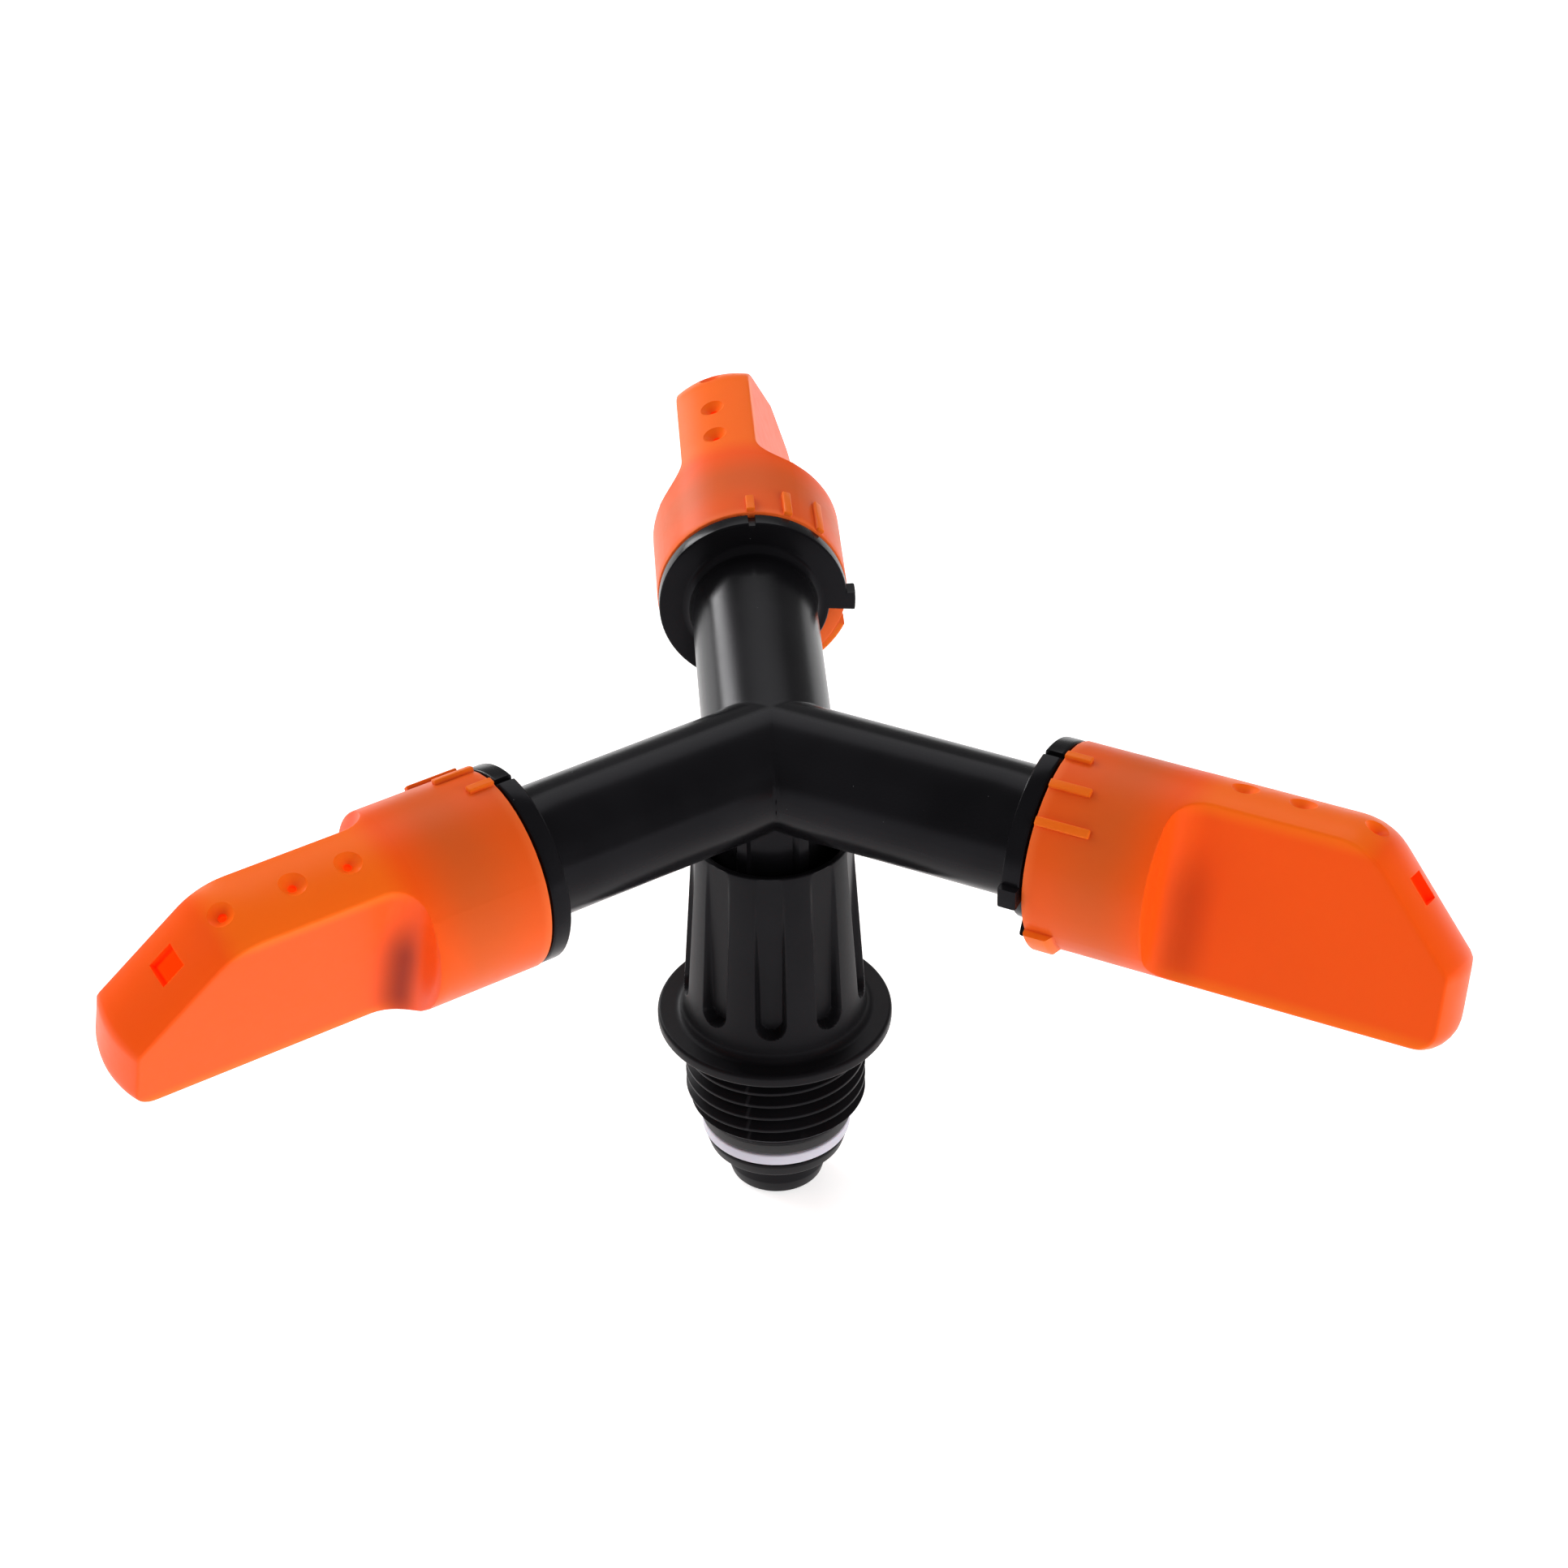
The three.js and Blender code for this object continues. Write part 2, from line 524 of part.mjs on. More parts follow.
function piece(name, geometry, material) {
  const mesh = new THREE.Mesh(geometry, material);
  mesh.name = name;
  return mesh;
}

const sprinkler = new THREE.Group();
sprinkler.add(
  piece('base_body', geometryOf(baseBody()), blackPlastic(0.42)),
  piece('flanged_bush', geometryOf(flangedBush()), whitePlastic()),
  piece('lower_seal_ring', geometryOf(sealRing()), rubber()),
  piece('stem_o_ring', geometryOf(stemSeal()), rubber()),
  piece('upper_thrust_washer', geometryOf(upperWasher()), whitePlastic()),
  piece('rotor_spider', geometryOf(rotorSpider()), blackPlastic(0.28)),
  piece('spindle_tube', geometryOf(spindleTube()), blackPlastic(0.4)),
  piece('retaining_nut', geometryOf(retainingNut()), blackPlastic(0.4)));

const nozzleGeometry = geometryOf(nozzleSolid());
const sealGeometry = geometryOf(spigotSeal());
['back', 'left', 'right'].forEach((side, i) => {
  const arm = new THREE.Group();
  arm.position.z = armZ;
  arm.rotation.z = rad(FIRST_ARM + (360 / ARM_COUNT) * i);
  const nozzle = piece(`nozzle_${side}`, nozzleGeometry, orangePlastic());
  nozzle.rotation.x = -rad(RIDGE_LEAN);
  arm.add(nozzle, piece(`nozzle_seal_${side}`, sealGeometry, rubber()));
  sprinkler.add(arm);
});

export default sprinkler;
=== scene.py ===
"""Three-armed rotating sprinkler: the finished pieces, their materials, the light and the camera.

The pieces are shaped in millimetres, in the frame of the packed model: +Z up, with the origin on the
stem axis at the underside of the base flange. Each one is scaled to metres when it is finished.
"""
import json
import math

import bmesh
import bpy
from bpy.props import FloatProperty, FloatVectorProperty, IntProperty
from mathutils import Matrix, Vector
from mathutils.bvhtree import BVHTree


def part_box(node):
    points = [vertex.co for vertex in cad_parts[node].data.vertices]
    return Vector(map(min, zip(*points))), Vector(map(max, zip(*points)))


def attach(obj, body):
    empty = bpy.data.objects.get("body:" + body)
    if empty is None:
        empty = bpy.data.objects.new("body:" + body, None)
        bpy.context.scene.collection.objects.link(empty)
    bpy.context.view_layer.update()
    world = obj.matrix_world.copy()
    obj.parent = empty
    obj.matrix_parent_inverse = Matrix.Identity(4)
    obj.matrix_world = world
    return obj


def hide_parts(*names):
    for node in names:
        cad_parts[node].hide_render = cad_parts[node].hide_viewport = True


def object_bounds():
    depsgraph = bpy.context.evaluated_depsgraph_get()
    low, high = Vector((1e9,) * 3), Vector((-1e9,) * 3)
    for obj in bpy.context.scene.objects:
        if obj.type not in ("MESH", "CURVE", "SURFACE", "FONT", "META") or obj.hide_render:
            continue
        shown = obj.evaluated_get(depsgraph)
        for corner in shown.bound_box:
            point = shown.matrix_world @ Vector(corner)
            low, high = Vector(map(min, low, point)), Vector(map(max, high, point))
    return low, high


bl_info = {
    "name": "Rotating Sprinkler",
    "version": (1, 0, 0),
    "blender": (4, 5, 0),
    "location": "View3D > Sidebar > Sprinkler",
    "description": "Builds a three-armed rotating garden sprinkler, its materials and its studio",
    "category": "Add Mesh",
}

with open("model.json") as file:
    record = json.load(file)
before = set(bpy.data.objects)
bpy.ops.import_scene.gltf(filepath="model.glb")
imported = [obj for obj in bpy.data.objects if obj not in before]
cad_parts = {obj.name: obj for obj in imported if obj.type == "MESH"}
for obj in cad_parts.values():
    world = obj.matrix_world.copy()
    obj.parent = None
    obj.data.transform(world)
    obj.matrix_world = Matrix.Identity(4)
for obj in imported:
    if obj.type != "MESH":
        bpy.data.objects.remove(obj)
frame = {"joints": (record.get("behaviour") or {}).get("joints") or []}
CAD_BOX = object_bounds()
MM = 0.001
FULL_TURN = math.tau
SMOOTH_LIMIT = math.radians(32)


def node_box(node):
    """Lowest and highest corner of a packed node, in millimetres."""
    low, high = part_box(node)
    return low / MM, high / MM


BASE_LOW, BASE_HIGH = node_box("base_body")
ROTOR_LOW = node_box("rotor_spider")[0]
BUSH_LOW, BUSH_HIGH = node_box("flanged_bush")
RING_LOW, RING_HIGH = node_box("lower_seal_ring")
NUT_LOW, NUT_HIGH = node_box("retaining_nut")
SPINDLE_LOW, SPINDLE_HIGH = node_box("spindle_tube")
BACK_LOW, BACK_HIGH = node_box("nozzle_back")
ARMS = {"back": 90, "left": 210, "right": 330}
ARM_HEIGHT = next(j for j in frame["joints"] if j["name"] == "nozzle_back_turn")["pos_m"][2] / MM
NOZZLE_START = BACK_LOW.y
NOZZLE_TIP = BACK_HIGH.y
SHAFT_RADIUS = 6.16             # of the holes round the spindle
SEAT_RADIUS = 7.6               # of the bore in the shank that holds the bush
FINE_STEPS, COARSE_STEPS = 144, 96      # round the turned pieces
LOOP_END, LOOP_STEPS = 345, 23  # turn of an O-ring section's last point in degrees, and its steps


# ---- sizes and colours a user would change ------------------------------------------------------
def length(name, default, description):
    return FloatProperty(name=name, default=default, description=description, min=0.01, unit="LENGTH")


def angle(name, degrees, description):
    return FloatProperty(
        name=name, default=math.radians(degrees), description=description, unit="ROTATION")


def colour(name, default, description):
    return FloatVectorProperty(
        name=name, default=default, description=description, size=3, min=0, max=1, subtype="COLOR")


def share(name, default, description):
    return FloatProperty(
        name=name, default=default, description=description, min=0, max=1, subtype="FACTOR")


class SPRINKLER_PG_base(bpy.types.PropertyGroup):
    """Sizes of the threaded base, in millimetres"""

    flange_radius: length("Flange Radius", BASE_HIGH.x, "Outside radius of the base flange")
    flange_thickness: length("Flange Thickness", 1.5, "Height of the base flange")
    foot_radius: length("Foot Radius", 10.6, "Radius of the fluted body on the flange")
    mouth_radius: length("Mouth Radius", 8.3, "Radius of the open mouth")
    rim_radius: length("Rim Radius", 9.0, "Outside radius at the mouth")
    root_radius: length("Thread Root Radius", 9.32, "Radius at the bottom of the thread")
    crest_radius: length("Thread Crest Radius", 10.48, "Radius at the top of the thread")
    pitch: length("Thread Pitch", 1.814, "Rise of the thread in one turn")
    flute_width: length("Flute Width", 3.4, "Width of a flute in the body")
    flute_start: length("Flute Start", 3.0, "Height of a flute's lower end above the flange")
    flute_floor: length("Flute Floor", 8.9, "Distance of a flute's floor from the stem axis")
    flutes: IntProperty(name="Flutes", default=9, min=3, description="Number of flutes round the body")
    phase: angle("Flute Phase", -95.7, "Azimuth of the first flute")


class SPRINKLER_PG_rotor(bpy.types.PropertyGroup):
    """Sizes of the rotor, in millimetres"""

    tube_radius: length("Tube Radius", 7.325, "Outside radius of an arm")
    bore_radius: length("Bore Radius", 5.4, "Inside radius of an arm")
    collar_radius: length("Collar Radius", 11.08, "Outside radius of a collar")
    collar_start: length("Collar Start", 32.46, "Distance of a collar from the stem axis")
    collar_end: length("Collar End", NOZZLE_START - 0.3, "Distance of a collar's outer face")
    collar_fillet: length("Collar Fillet", 1.1, "Round between an arm and its collar")
    notch_width: length("Notch Width", 0.8, "Width of the pointer notch on top of a collar")
    notch_depth: length("Notch Depth", 0.4, "Depth of the pointer notch")
    tab_radius: length("Tab Radius", 12.03, "Radius at the outer face of the stop tab")
    relief_radius: length("Relief Radius", 8.98, "Radius of the collar beside the stop tab")
    spigot_radius: length("Spigot Radius", 8.4, "Radius of the spigot inside a nozzle")
    neck_radius: length("Neck Radius", 6.35, "Radius of the neck under the hub")
    neck_rib_height: length("Neck Rib Height", 0.55, "Height of the ribs on the neck")


class SPRINKLER_PG_nozzle(bpy.types.PropertyGroup):
    """Sizes of a spray nozzle, in millimetres"""

    radius: length("Radius", 11.19, "Outside radius of a nozzle")
    slab_start: length("Slab Start", 48.38, "Distance of the slab's shoulder from the stem axis")
    slab_width: length("Slab Width", 9.4, "Thickness of the slab between its flats")
    shoulder_round: length("Shoulder Round", 3.7, "Concave round where the flats begin")
    slope: angle("Slope", 47.9, "Slope behind the blunt end")
    crest_round: length("Crest Round", 8.0, "Round where the slope begins")
    edge_round: length("Edge Round", 0.42, "Round along the edges of the flats")
    lean: angle("Lean", 16.9, "Lean of the ridge from the vertical")
    jet_radius: length("Jet Radius", 0.45, "Radius of a jet hole")
    dimple_radius: length("Dimple Radius", 1.58, "Radius of the dimple round a jet hole")
    dimple_depth: length("Dimple Depth", 0.85, "Depth of the dimple round a jet hole")
    window_width: length("Window Width", 3.1, "Width of the square outlet")
    mark_width: length("Mark Width", 1.0, "Width of a setting mark")
    mark_height: length("Mark Height", 0.5, "Height of a setting mark")
    lug_height: length("Lug Height", 0.85, "Height of the stop lug")


class SPRINKLER_PG_finish(bpy.types.PropertyGroup):
    """Colours and finishes"""

    orange: colour("Nozzle Orange", (0.92, 0.092, 0.0045), "Colour of the translucent nozzles")
    amber: colour("Nozzle Edge", (0.98, 0.165, 0.008), "Colour where the plastic is thin")
    # painted shade: the nozzle's colour where the black spigot stands behind its wall
    shadowed: colour("Nozzle Over Spigot", (0.63, 0.103, 0.017), "Colour over the black spigot")
    # painted shadow over the end of the bore
    bore_shade: colour("Nozzle Shadow Patch", (0.27, 0.019, 0.004), "Colour over the end of the bore")
    # painted glow: light through the plastic, given as emission inside the window and the jet holes
    glow: colour("Nozzle Glow", (0.72, 0.040, 0.001), "Light through the plastic inside a nozzle")
    black: colour("Black Plastic", (0.0052, 0.0050, 0.0058), "Colour of the black mouldings")
    rubber: colour("Rubber", (0.010, 0.0098, 0.011), "Colour of the seals")
    white: colour("Bush White", (0.56, 0.55, 0.63), "Colour of the bush")
    gloss: share("Arm Roughness", 0.23, "Roughness of the moulded arms")
    floor: colour("Floor", (0.93, 0.93, 0.93), "Colour of the studio floor")
    floor_light: share("Floor Light", 0.62, "Light from the backlit floor")
    sky_light: share("Sky Light", 0.26, "Light from all round")


class SPRINKLER_PG_studio(bpy.types.PropertyGroup):
    """Camera and light"""

    azimuth: angle("Camera Azimuth", -3.13, "Turn of the camera about the stem axis")
    distance: length("Camera Distance", 357.753, "Level distance of the camera from the stem axis, in mm")
    height: length("Camera Height", 284.605, "Height of the camera above the flange, in mm")
    yaw: angle("Camera Yaw", 0.224, "Turn of the camera away from the stem axis")
    pitch: angle("Camera Pitch", -35.168, "Tilt of the camera below the level")
    roll: angle("Camera Roll", 0.733, "Roll of the camera")
    focal: FloatProperty(
        name="Focal Length", default=90.5, min=1, unit="CAMERA", description="Focal length in mm")
    floor_drop: length("Floor Drop", 0.6, "Gap between the nose and the floor, in mm")


# ---- outlines -----------------------------------------------------------------------------------
def arc(centre, radius, start, end, steps):
    """Points on an arc, with its angles in degrees."""
    turns = [math.radians(start + (end - start) * i / steps) for i in range(steps + 1)]
    return [(centre[0] + radius * math.cos(t), centre[1] + radius * math.sin(t)) for t in turns]


def rounded(corners, steps=5):
    """An open outline through corners (x, y, radius), each corner between two others being rounded."""
    points = [corners[0][:2]]
    for before, corner, after in zip(corners, corners[1:], corners[2:]):
        place, radius = Vector(corner[:2]), corner[2]
        if radius == 0:
            points.append(tuple(place))
            continue
        back = (Vector(before[:2]) - place).normalized()
        ahead = (Vector(after[:2]) - place).normalized()
        half = back.angle(ahead) / 2
        reach = radius / math.tan(half)
        centre = place + (back + ahead).normalized() * radius / math.sin(half)
        start, end = place + back * reach - centre, place + ahead * reach - centre
        sweep = math.atan2(start.x * end.y - start.y * end.x, start.dot(end))
        for i in range(steps + 1):
            turn = Matrix.Rotation(sweep * i / steps, 2)
            points.append(tuple(centre + turn @ start))
    points.append(corners[-1][:2])
    return points


def evened(points, count):
    """The same outline with count points, evenly spaced along it."""
    places = [Vector(p) for p in points]
    reached = [0.0]
    for a, b in zip(places, places[1:]):
        reached.append(reached[-1] + (b - a).length)
    result, k = [], 0
    for i in range(count):
        goal = reached[-1] * i / (count - 1)
        while k < len(places) - 2 and reached[k + 1] < goal:
            k += 1
        span = max(reached[k + 1] - reached[k], 1e-9)
        result.append(places[k].lerp(places[k + 1], (goal - reached[k]) / span))
    return result


def smoothstep(low, high, value):
    """0 at low and 1 at high, with a smooth step between them."""
    t = min(max((value - low) / (high - low), 0), 1)
    return t * t * (3 - 2 * t)


# ---- mesh work ----------------------------------------------------------------------------------
def spun(outline, steps, closed=False):
    """A skin turned from an outline of (radius, height) about the Z axis."""
    bm = bmesh.new()
    verts = [bm.verts.new((r, 0, h)) for r, h in outline]
    pairs = list(zip(verts, verts[1:])) + ([(verts[-1], verts[0])] if closed else [])
    edges = [bm.edges.new(pair) for pair in pairs]
    bmesh.ops.spin(
        bm, geom=verts + edges, cent=(0, 0, 0), axis=(0, 0, 1), angle=FULL_TURN, steps=steps, use_merge=True)
    bmesh.ops.remove_doubles(bm, verts=bm.verts, dist=1e-4)
    bmesh.ops.recalc_face_normals(bm, faces=bm.faces)
    return bm


def swept(rings):
    """A skin drawn from ring to ring, each ring being a list of the same number of places."""
    bm = bmesh.new()
    place = bm.verts.layers.int.new("place")
    circle = bmesh.ops.create_circle(bm, segments=len(rings[0]), radius=1)["verts"]
    for i, vert in enumerate(circle):
        vert[place] = i
        vert.co = rings[0][i]
    edges = list(bm.edges)
    for ring in rings[1:]:
        made = bmesh.ops.extrude_edge_only(bm, edges=edges)["geom"]
        verts = {item for item in made if isinstance(item, bmesh.types.BMVert)}
        for vert in verts:
            vert.co = ring[vert[place]]
        edges = [item for item in made
                 if isinstance(item, bmesh.types.BMEdge) and all(v in verts for v in item.verts)]
    return bm


def close_holes(bm):
    """Closes each open end with one face."""
    rim = [edge for edge in bm.edges if edge.is_boundary]
    if rim:
        bmesh.ops.holes_fill(bm, edges=rim, sides=0)


def cleaned(bm):
    """Merges what coincides, and points all faces outwards."""
    bmesh.ops.remove_doubles(bm, verts=bm.verts, dist=2e-4)
    bmesh.ops.dissolve_degenerate(bm, edges=bm.edges, dist=1e-5)
    bmesh.ops.recalc_face_normals(bm, faces=bm.faces)
    return bm


def block(size, place, bevel=0.0):
    """A box with its bevelled edges, set by a matrix."""
    bm = bmesh.new()
    bmesh.ops.create_cube(bm, size=1)
    bmesh.ops.scale(bm, vec=size, verts=bm.verts)
    if bevel:
        bmesh.ops.bevel(bm, geom=list(bm.edges), offset=bevel, offset_type="OFFSET", affect="EDGES",
                        segments=3, profile=0.5, material=-1, clamp_overlap=True)
    bmesh.ops.transform(bm, matrix=place, verts=bm.verts)
    return bm


def as_object(bm, name="shape"):
    """An object in the scene that holds a skin. The skin is used up."""
    mesh = bpy.data.meshes.new(name)
    bm.to_mesh(mesh)
    bm.free()
    shape = bpy.data.objects.new(name, mesh)
    bpy.context.scene.collection.objects.link(shape)
    return shape


def combined(bm, tool, operation):
    """The Boolean of two closed skins. Both are used up."""
    target, cutter = as_object(bm), as_object(tool)
    cutter.hide_render = True
    change = target.modifiers.new("Combine", "BOOLEAN")
    change.operation, change.solver, change.object = operation, "EXACT", cutter
    view = bpy.context.evaluated_depsgraph_get()
    mesh = bpy.data.meshes.new_from_object(target.evaluated_get(view))
    result = bmesh.new()
    result.from_mesh(mesh)
    if not result.faces:
        raise RuntimeError("a Boolean left nothing")
    for shape in (target, cutter):
        data = shape.data
        bpy.data.objects.remove(shape)
        bpy.data.meshes.remove(data)
    bpy.data.meshes.remove(mesh)
    return result


def gathered(parts):
    """Several skins in one bmesh. The parts are used up."""
    whole = bmesh.new()
    for part in parts:
        mesh = bpy.data.meshes.new("part")
        part.to_mesh(mesh)
        part.free()
        whole.from_mesh(mesh)
        bpy.data.meshes.remove(mesh)
    return whole


def copied(bm, matrix):
    """A copy of a skin, set by a matrix."""
    twin = bm.copy()
    bmesh.ops.transform(twin, matrix=matrix, verts=twin.verts)
    return twin


def finish_piece(bm, name, body, nodes, material):
    """Scales a skin to metres and makes it a piece that rides on a body and stands for CAD nodes."""
    along = bm.verts.layers.float_vector.get("along_arm")
    if along:
        for vert in bm.verts:
            vert[along] = vert[along] * MM
    bmesh.ops.scale(bm, vec=(MM, MM, MM), verts=bm.verts)
    for face in bm.faces:
        face.smooth = True
    piece = as_object(bm, name)
    piece.data.set_sharp_from_angle(angle=SMOOTH_LIMIT)
    piece.data.materials.append(material)
    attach(piece, body)
    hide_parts(*nodes)
    return piece


# ---- shader work --------------------------------------------------------------------------------
class Value:
    """A socket that takes part in sums, so that shader maths reads as an expression."""

    def __init__(self, shader, socket):
        self.shader, self.socket = shader, socket

    def maths(self, operation, *others):
        """One Math node on this value and others."""
        sockets = {i: other for i, other in enumerate((self, *others))}
        made = self.shader.node("ShaderNodeMath", {"operation": operation}, sockets)
        return Value(self.shader, made.outputs[0])

    def __add__(self, other):
        return self.maths("ADD", other)

    def __mul__(self, other):
        return self.maths("MULTIPLY", other)

    def __sub__(self, other):
        return self.maths("SUBTRACT", other)

    def __rsub__(self, other):
        return (self * -1) + other

    __radd__, __rmul__ = __add__, __mul__

    def __abs__(self):
        return self.maths("ABSOLUTE")

    def ramp(self, low, high):
        """0 below low, 1 above high, and a smooth step between them."""
        made = self.shader.node(
            "ShaderNodeMapRange", {"interpolation_type": "SMOOTHSTEP"}, {0: self, 1: low, 2: high})
        return Value(self.shader, made.outputs[0])

    def band(self, low, high, soft):
        """1 between low and high, fading to 0 over soft on each side."""
        return self.ramp(low - soft, low + soft) * (1 - self.ramp(high - soft, high + soft))


class Shader:
    """One material with a Principled surface."""

    def __init__(self, name, **settings):
        self.material = bpy.data.materials.new(name)
        self.material.use_nodes = True
        self.tree = self.material.node_tree
        self.surface = self.tree.nodes["Principled BSDF"]
        for key, value in settings.items():
            self.surface.inputs[key.replace("_", " ")].default_value = value

    def node(self, kind, settings, sockets):
        """A node of a kind, with its settings first, and then the values or links of its sockets."""
        made = self.tree.nodes.new(kind)
        for key, value in settings.items():
            setattr(made, key, value)
        for key, value in sockets.items():
            if isinstance(value, Value):
                value = value.socket
            if isinstance(value, bpy.types.NodeSocket):
                self.tree.links.new(value, made.inputs[key])
            else:
                made.inputs[key].default_value = value
        return made

    def place(self, attribute=None):
        """The place on the piece, in metres, or a vector attribute of it."""
        if attribute:
            return self.node("ShaderNodeAttribute", {"attribute_name": attribute}, {}).outputs["Vector"]
        return self.node("ShaderNodeTexCoord", {}, {}).outputs["Object"]

    def attribute(self, name):
        """A number kept on the piece's vertices."""
        return Value(self, self.node("ShaderNodeAttribute", {"attribute_name": name}, {}).outputs["Fac"])

    def axes(self, place):
        """The three parts of a vector."""
        split = self.node("ShaderNodeSeparateXYZ", {}, {0: place})
        return [Value(self, socket) for socket in split.outputs]

    def length_of(self, place):
        made = self.node("ShaderNodeVectorMath", {"operation": "LENGTH"}, {0: place})
        return Value(self, made.outputs["Value"])

    def noise(self, place, size, detail=3, roughness=0.5):
        """Noise from 0 to 1 with features of a size in metres."""
        made = self.node("ShaderNodeTexNoise", {"noise_dimensions": "3D"},
                         {"Vector": place, "Scale": 1 / size, "Detail": detail, "Roughness": roughness})
        return Value(self, made.outputs[0])

    def specks(self, place, spacing, radius, portion):
        """Round specks of a radius in metres, in a portion of the cells of a spacing."""
        made = self.node("ShaderNodeTexVoronoi", {"feature": "F1"}, {"Vector": place, "Scale": 1 / spacing})
        near = 1 - Value(self, made.outputs["Distance"]).ramp(radius / spacing * 0.6, radius / spacing)
        pick = self.node("ShaderNodeSeparateColor", {}, {0: made.outputs["Color"]})
        return near * Value(self, pick.outputs[0]).maths("GREATER_THAN", 1 - portion)

    def scratches(self, place, spacing, stretch, portion):
        """Fine hair scratches, long along a stretched direction, in a portion of the cells."""
        bent = self.node("ShaderNodeMapping", {"vector_type": "POINT"},
                         {"Vector": place, "Rotation": stretch[0], "Scale": stretch[1]})
        cells = self.node("ShaderNodeTexVoronoi", {"feature": "F1"},
                          {"Vector": bent.outputs[0], "Scale": 1 / spacing})
        near = 1 - Value(self, cells.outputs["Distance"]).ramp(*SCRATCH_EDGE)
        pick = self.node("ShaderNodeSeparateColor", {}, {0: cells.outputs["Color"]})
        return near * Value(self, pick.outputs[1]).maths("GREATER_THAN", 1 - portion)

    def mix(self, factor, first, second):
        """The first colour at factor 0, and the second at factor 1."""
        made = self.node("ShaderNodeMix", {"data_type": "RGBA"}, {0: factor})
        for key, value in ((6, first), (7, second)):
            if isinstance(value, bpy.types.NodeSocket):
                self.tree.links.new(value, made.inputs[key])
            else:
                made.inputs[key].default_value = (*value, 1)
        return made.outputs[2]

    def bump(self, height, distance, strength=1.0):
        """Fine relief, of a depth in metres."""
        made = self.node("ShaderNodeBump", {}, {"Strength": strength, "Distance": distance, "Height": height})
        self.tree.links.new(made.outputs[0], self.surface.inputs["Normal"])

    def feed(self, socket, value):
        """Links a value or a colour to a socket of the surface."""
        self.tree.links.new(getattr(value, "socket", value), self.surface.inputs[socket])


# ---- materials ----------------------------------------------------------------------------------
# Places and distances in the materials are in metres.
LONG_SCRATCH = ((0.4, 0.3, 0.9), (1.0, 0.05, 1.0))      # turn and stretch of the pattern's cells
CROSS_SCRATCH = ((0.9, 1.1, 0.2), (0.04, 1.0, 1.0))
SCRATCH_EDGE = (0.05, 0.11)     # where a scratch fades out, as a share of a cell
ARM_TINT = (0.92, 0.90, 1.0, 1.0)
BASE_TINT = (0.94, 0.92, 1.0, 1.0)
SCRATCH_GREY = (0.12, 0.12, 0.13)
DUST_GREY = (0.30, 0.30, 0.31)
BASE_DUST = (0.25, 0.25, 0.26)
SEAM_GREY = (0.09, 0.09, 0.10)
SEAM_AZIMUTH = math.radians(-112)
SEAM_EDGE = (0.00006, 0.0003)   # distances from the seam's middle where it fades out
SEAM_TOP = (-0.0004, 0.0002)    # heights where the seam ends, under the flange
SEAM_FOOT = (-0.0124, -0.0119)  # and above the thread's lower end
SEAM_SIDE = (0.0, 0.004)        # keeps the seam to one side of the stem


def scaled(shade, factor):
    """A colour made lighter or darker."""
    return tuple(channel * factor for channel in shade)


def black_plastic(name, finish, roughness, haze):
    """Black moulding with a faint haze, hair scratches and dust."""
    shader = Shader(name, IOR=1.42, Specular_IOR_Level=0.13, Specular_Tint=ARM_TINT)
    place = shader.place()
    broad = shader.noise(place, size=0.012, detail=2)
    fine = shader.noise(place, size=0.0011, detail=4, roughness=0.6)
    dust = shader.specks(place, spacing=0.0036, radius=0.00013, portion=0.30)
    grit = shader.specks(place, spacing=0.0014, radius=0.00005, portion=0.22)
    hair = (shader.scratches(place, spacing=0.0060, stretch=LONG_SCRATCH, portion=0.16)
            + shader.scratches(place, spacing=0.0075, stretch=CROSS_SCRATCH, portion=0.14))
    marks = (dust + grit * 0.5).maths("MINIMUM", 1.0)
    base = shader.mix(broad.ramp(0.3, 0.7) * haze, scaled(finish.black, 0.8), scaled(finish.black, 1.35))
    scratched = shader.mix(hair * 0.2, base, SCRATCH_GREY)
    shader.feed("Base Color", shader.mix(marks * 0.8, scratched, DUST_GREY))
    shader.feed("Roughness", broad * 0.08 + fine * 0.05 + marks * 0.25 + hair * 0.1 + (roughness - 0.06))
    shader.bump(fine * 0.25 + marks * 0.9 - hair * 0.5, distance=0.00002, strength=0.6)
    return shader.material


def body_plastic(finish):
    """Satin black moulding of the base, with a mould seam across the thread."""
    shader = Shader("satin_black_plastic", IOR=1.42, Specular_IOR_Level=0.14, Specular_Tint=BASE_TINT)
    place = shader.place()
    x, y, z = shader.axes(place)
    broad = shader.noise(place, size=0.009, detail=2)
    fine = shader.noise(place, size=0.0007, detail=4, roughness=0.6)
    dust = shader.specks(place, spacing=0.0042, radius=0.00010, portion=0.20)
    across = x * -math.sin(SEAM_AZIMUTH) + y * math.cos(SEAM_AZIMUTH)
    facing = (x * math.cos(SEAM_AZIMUTH) + y * math.sin(SEAM_AZIMUTH)).ramp(*SEAM_SIDE)
    on_thread = (1 - z.ramp(*SEAM_TOP)) * z.ramp(*SEAM_FOOT)
    seam = (1 - abs(across).ramp(*SEAM_EDGE)) * facing * on_thread
    base = shader.mix(broad.ramp(0.3, 0.7), scaled(finish.black, 0.9), scaled(finish.black, 1.3))
    dusty = shader.mix(dust * 0.25, base, BASE_DUST)
    shader.feed("Base Color", shader.mix(seam * 0.12, dusty, SEAM_GREY))
    shader.feed("Roughness", broad * 0.10 + fine * 0.06 + seam * 0.1 + 0.30)
    shader.bump(fine * 0.35 + seam * 0.6 + dust * 0.8, distance=0.00003, strength=0.7)
    return shader.material


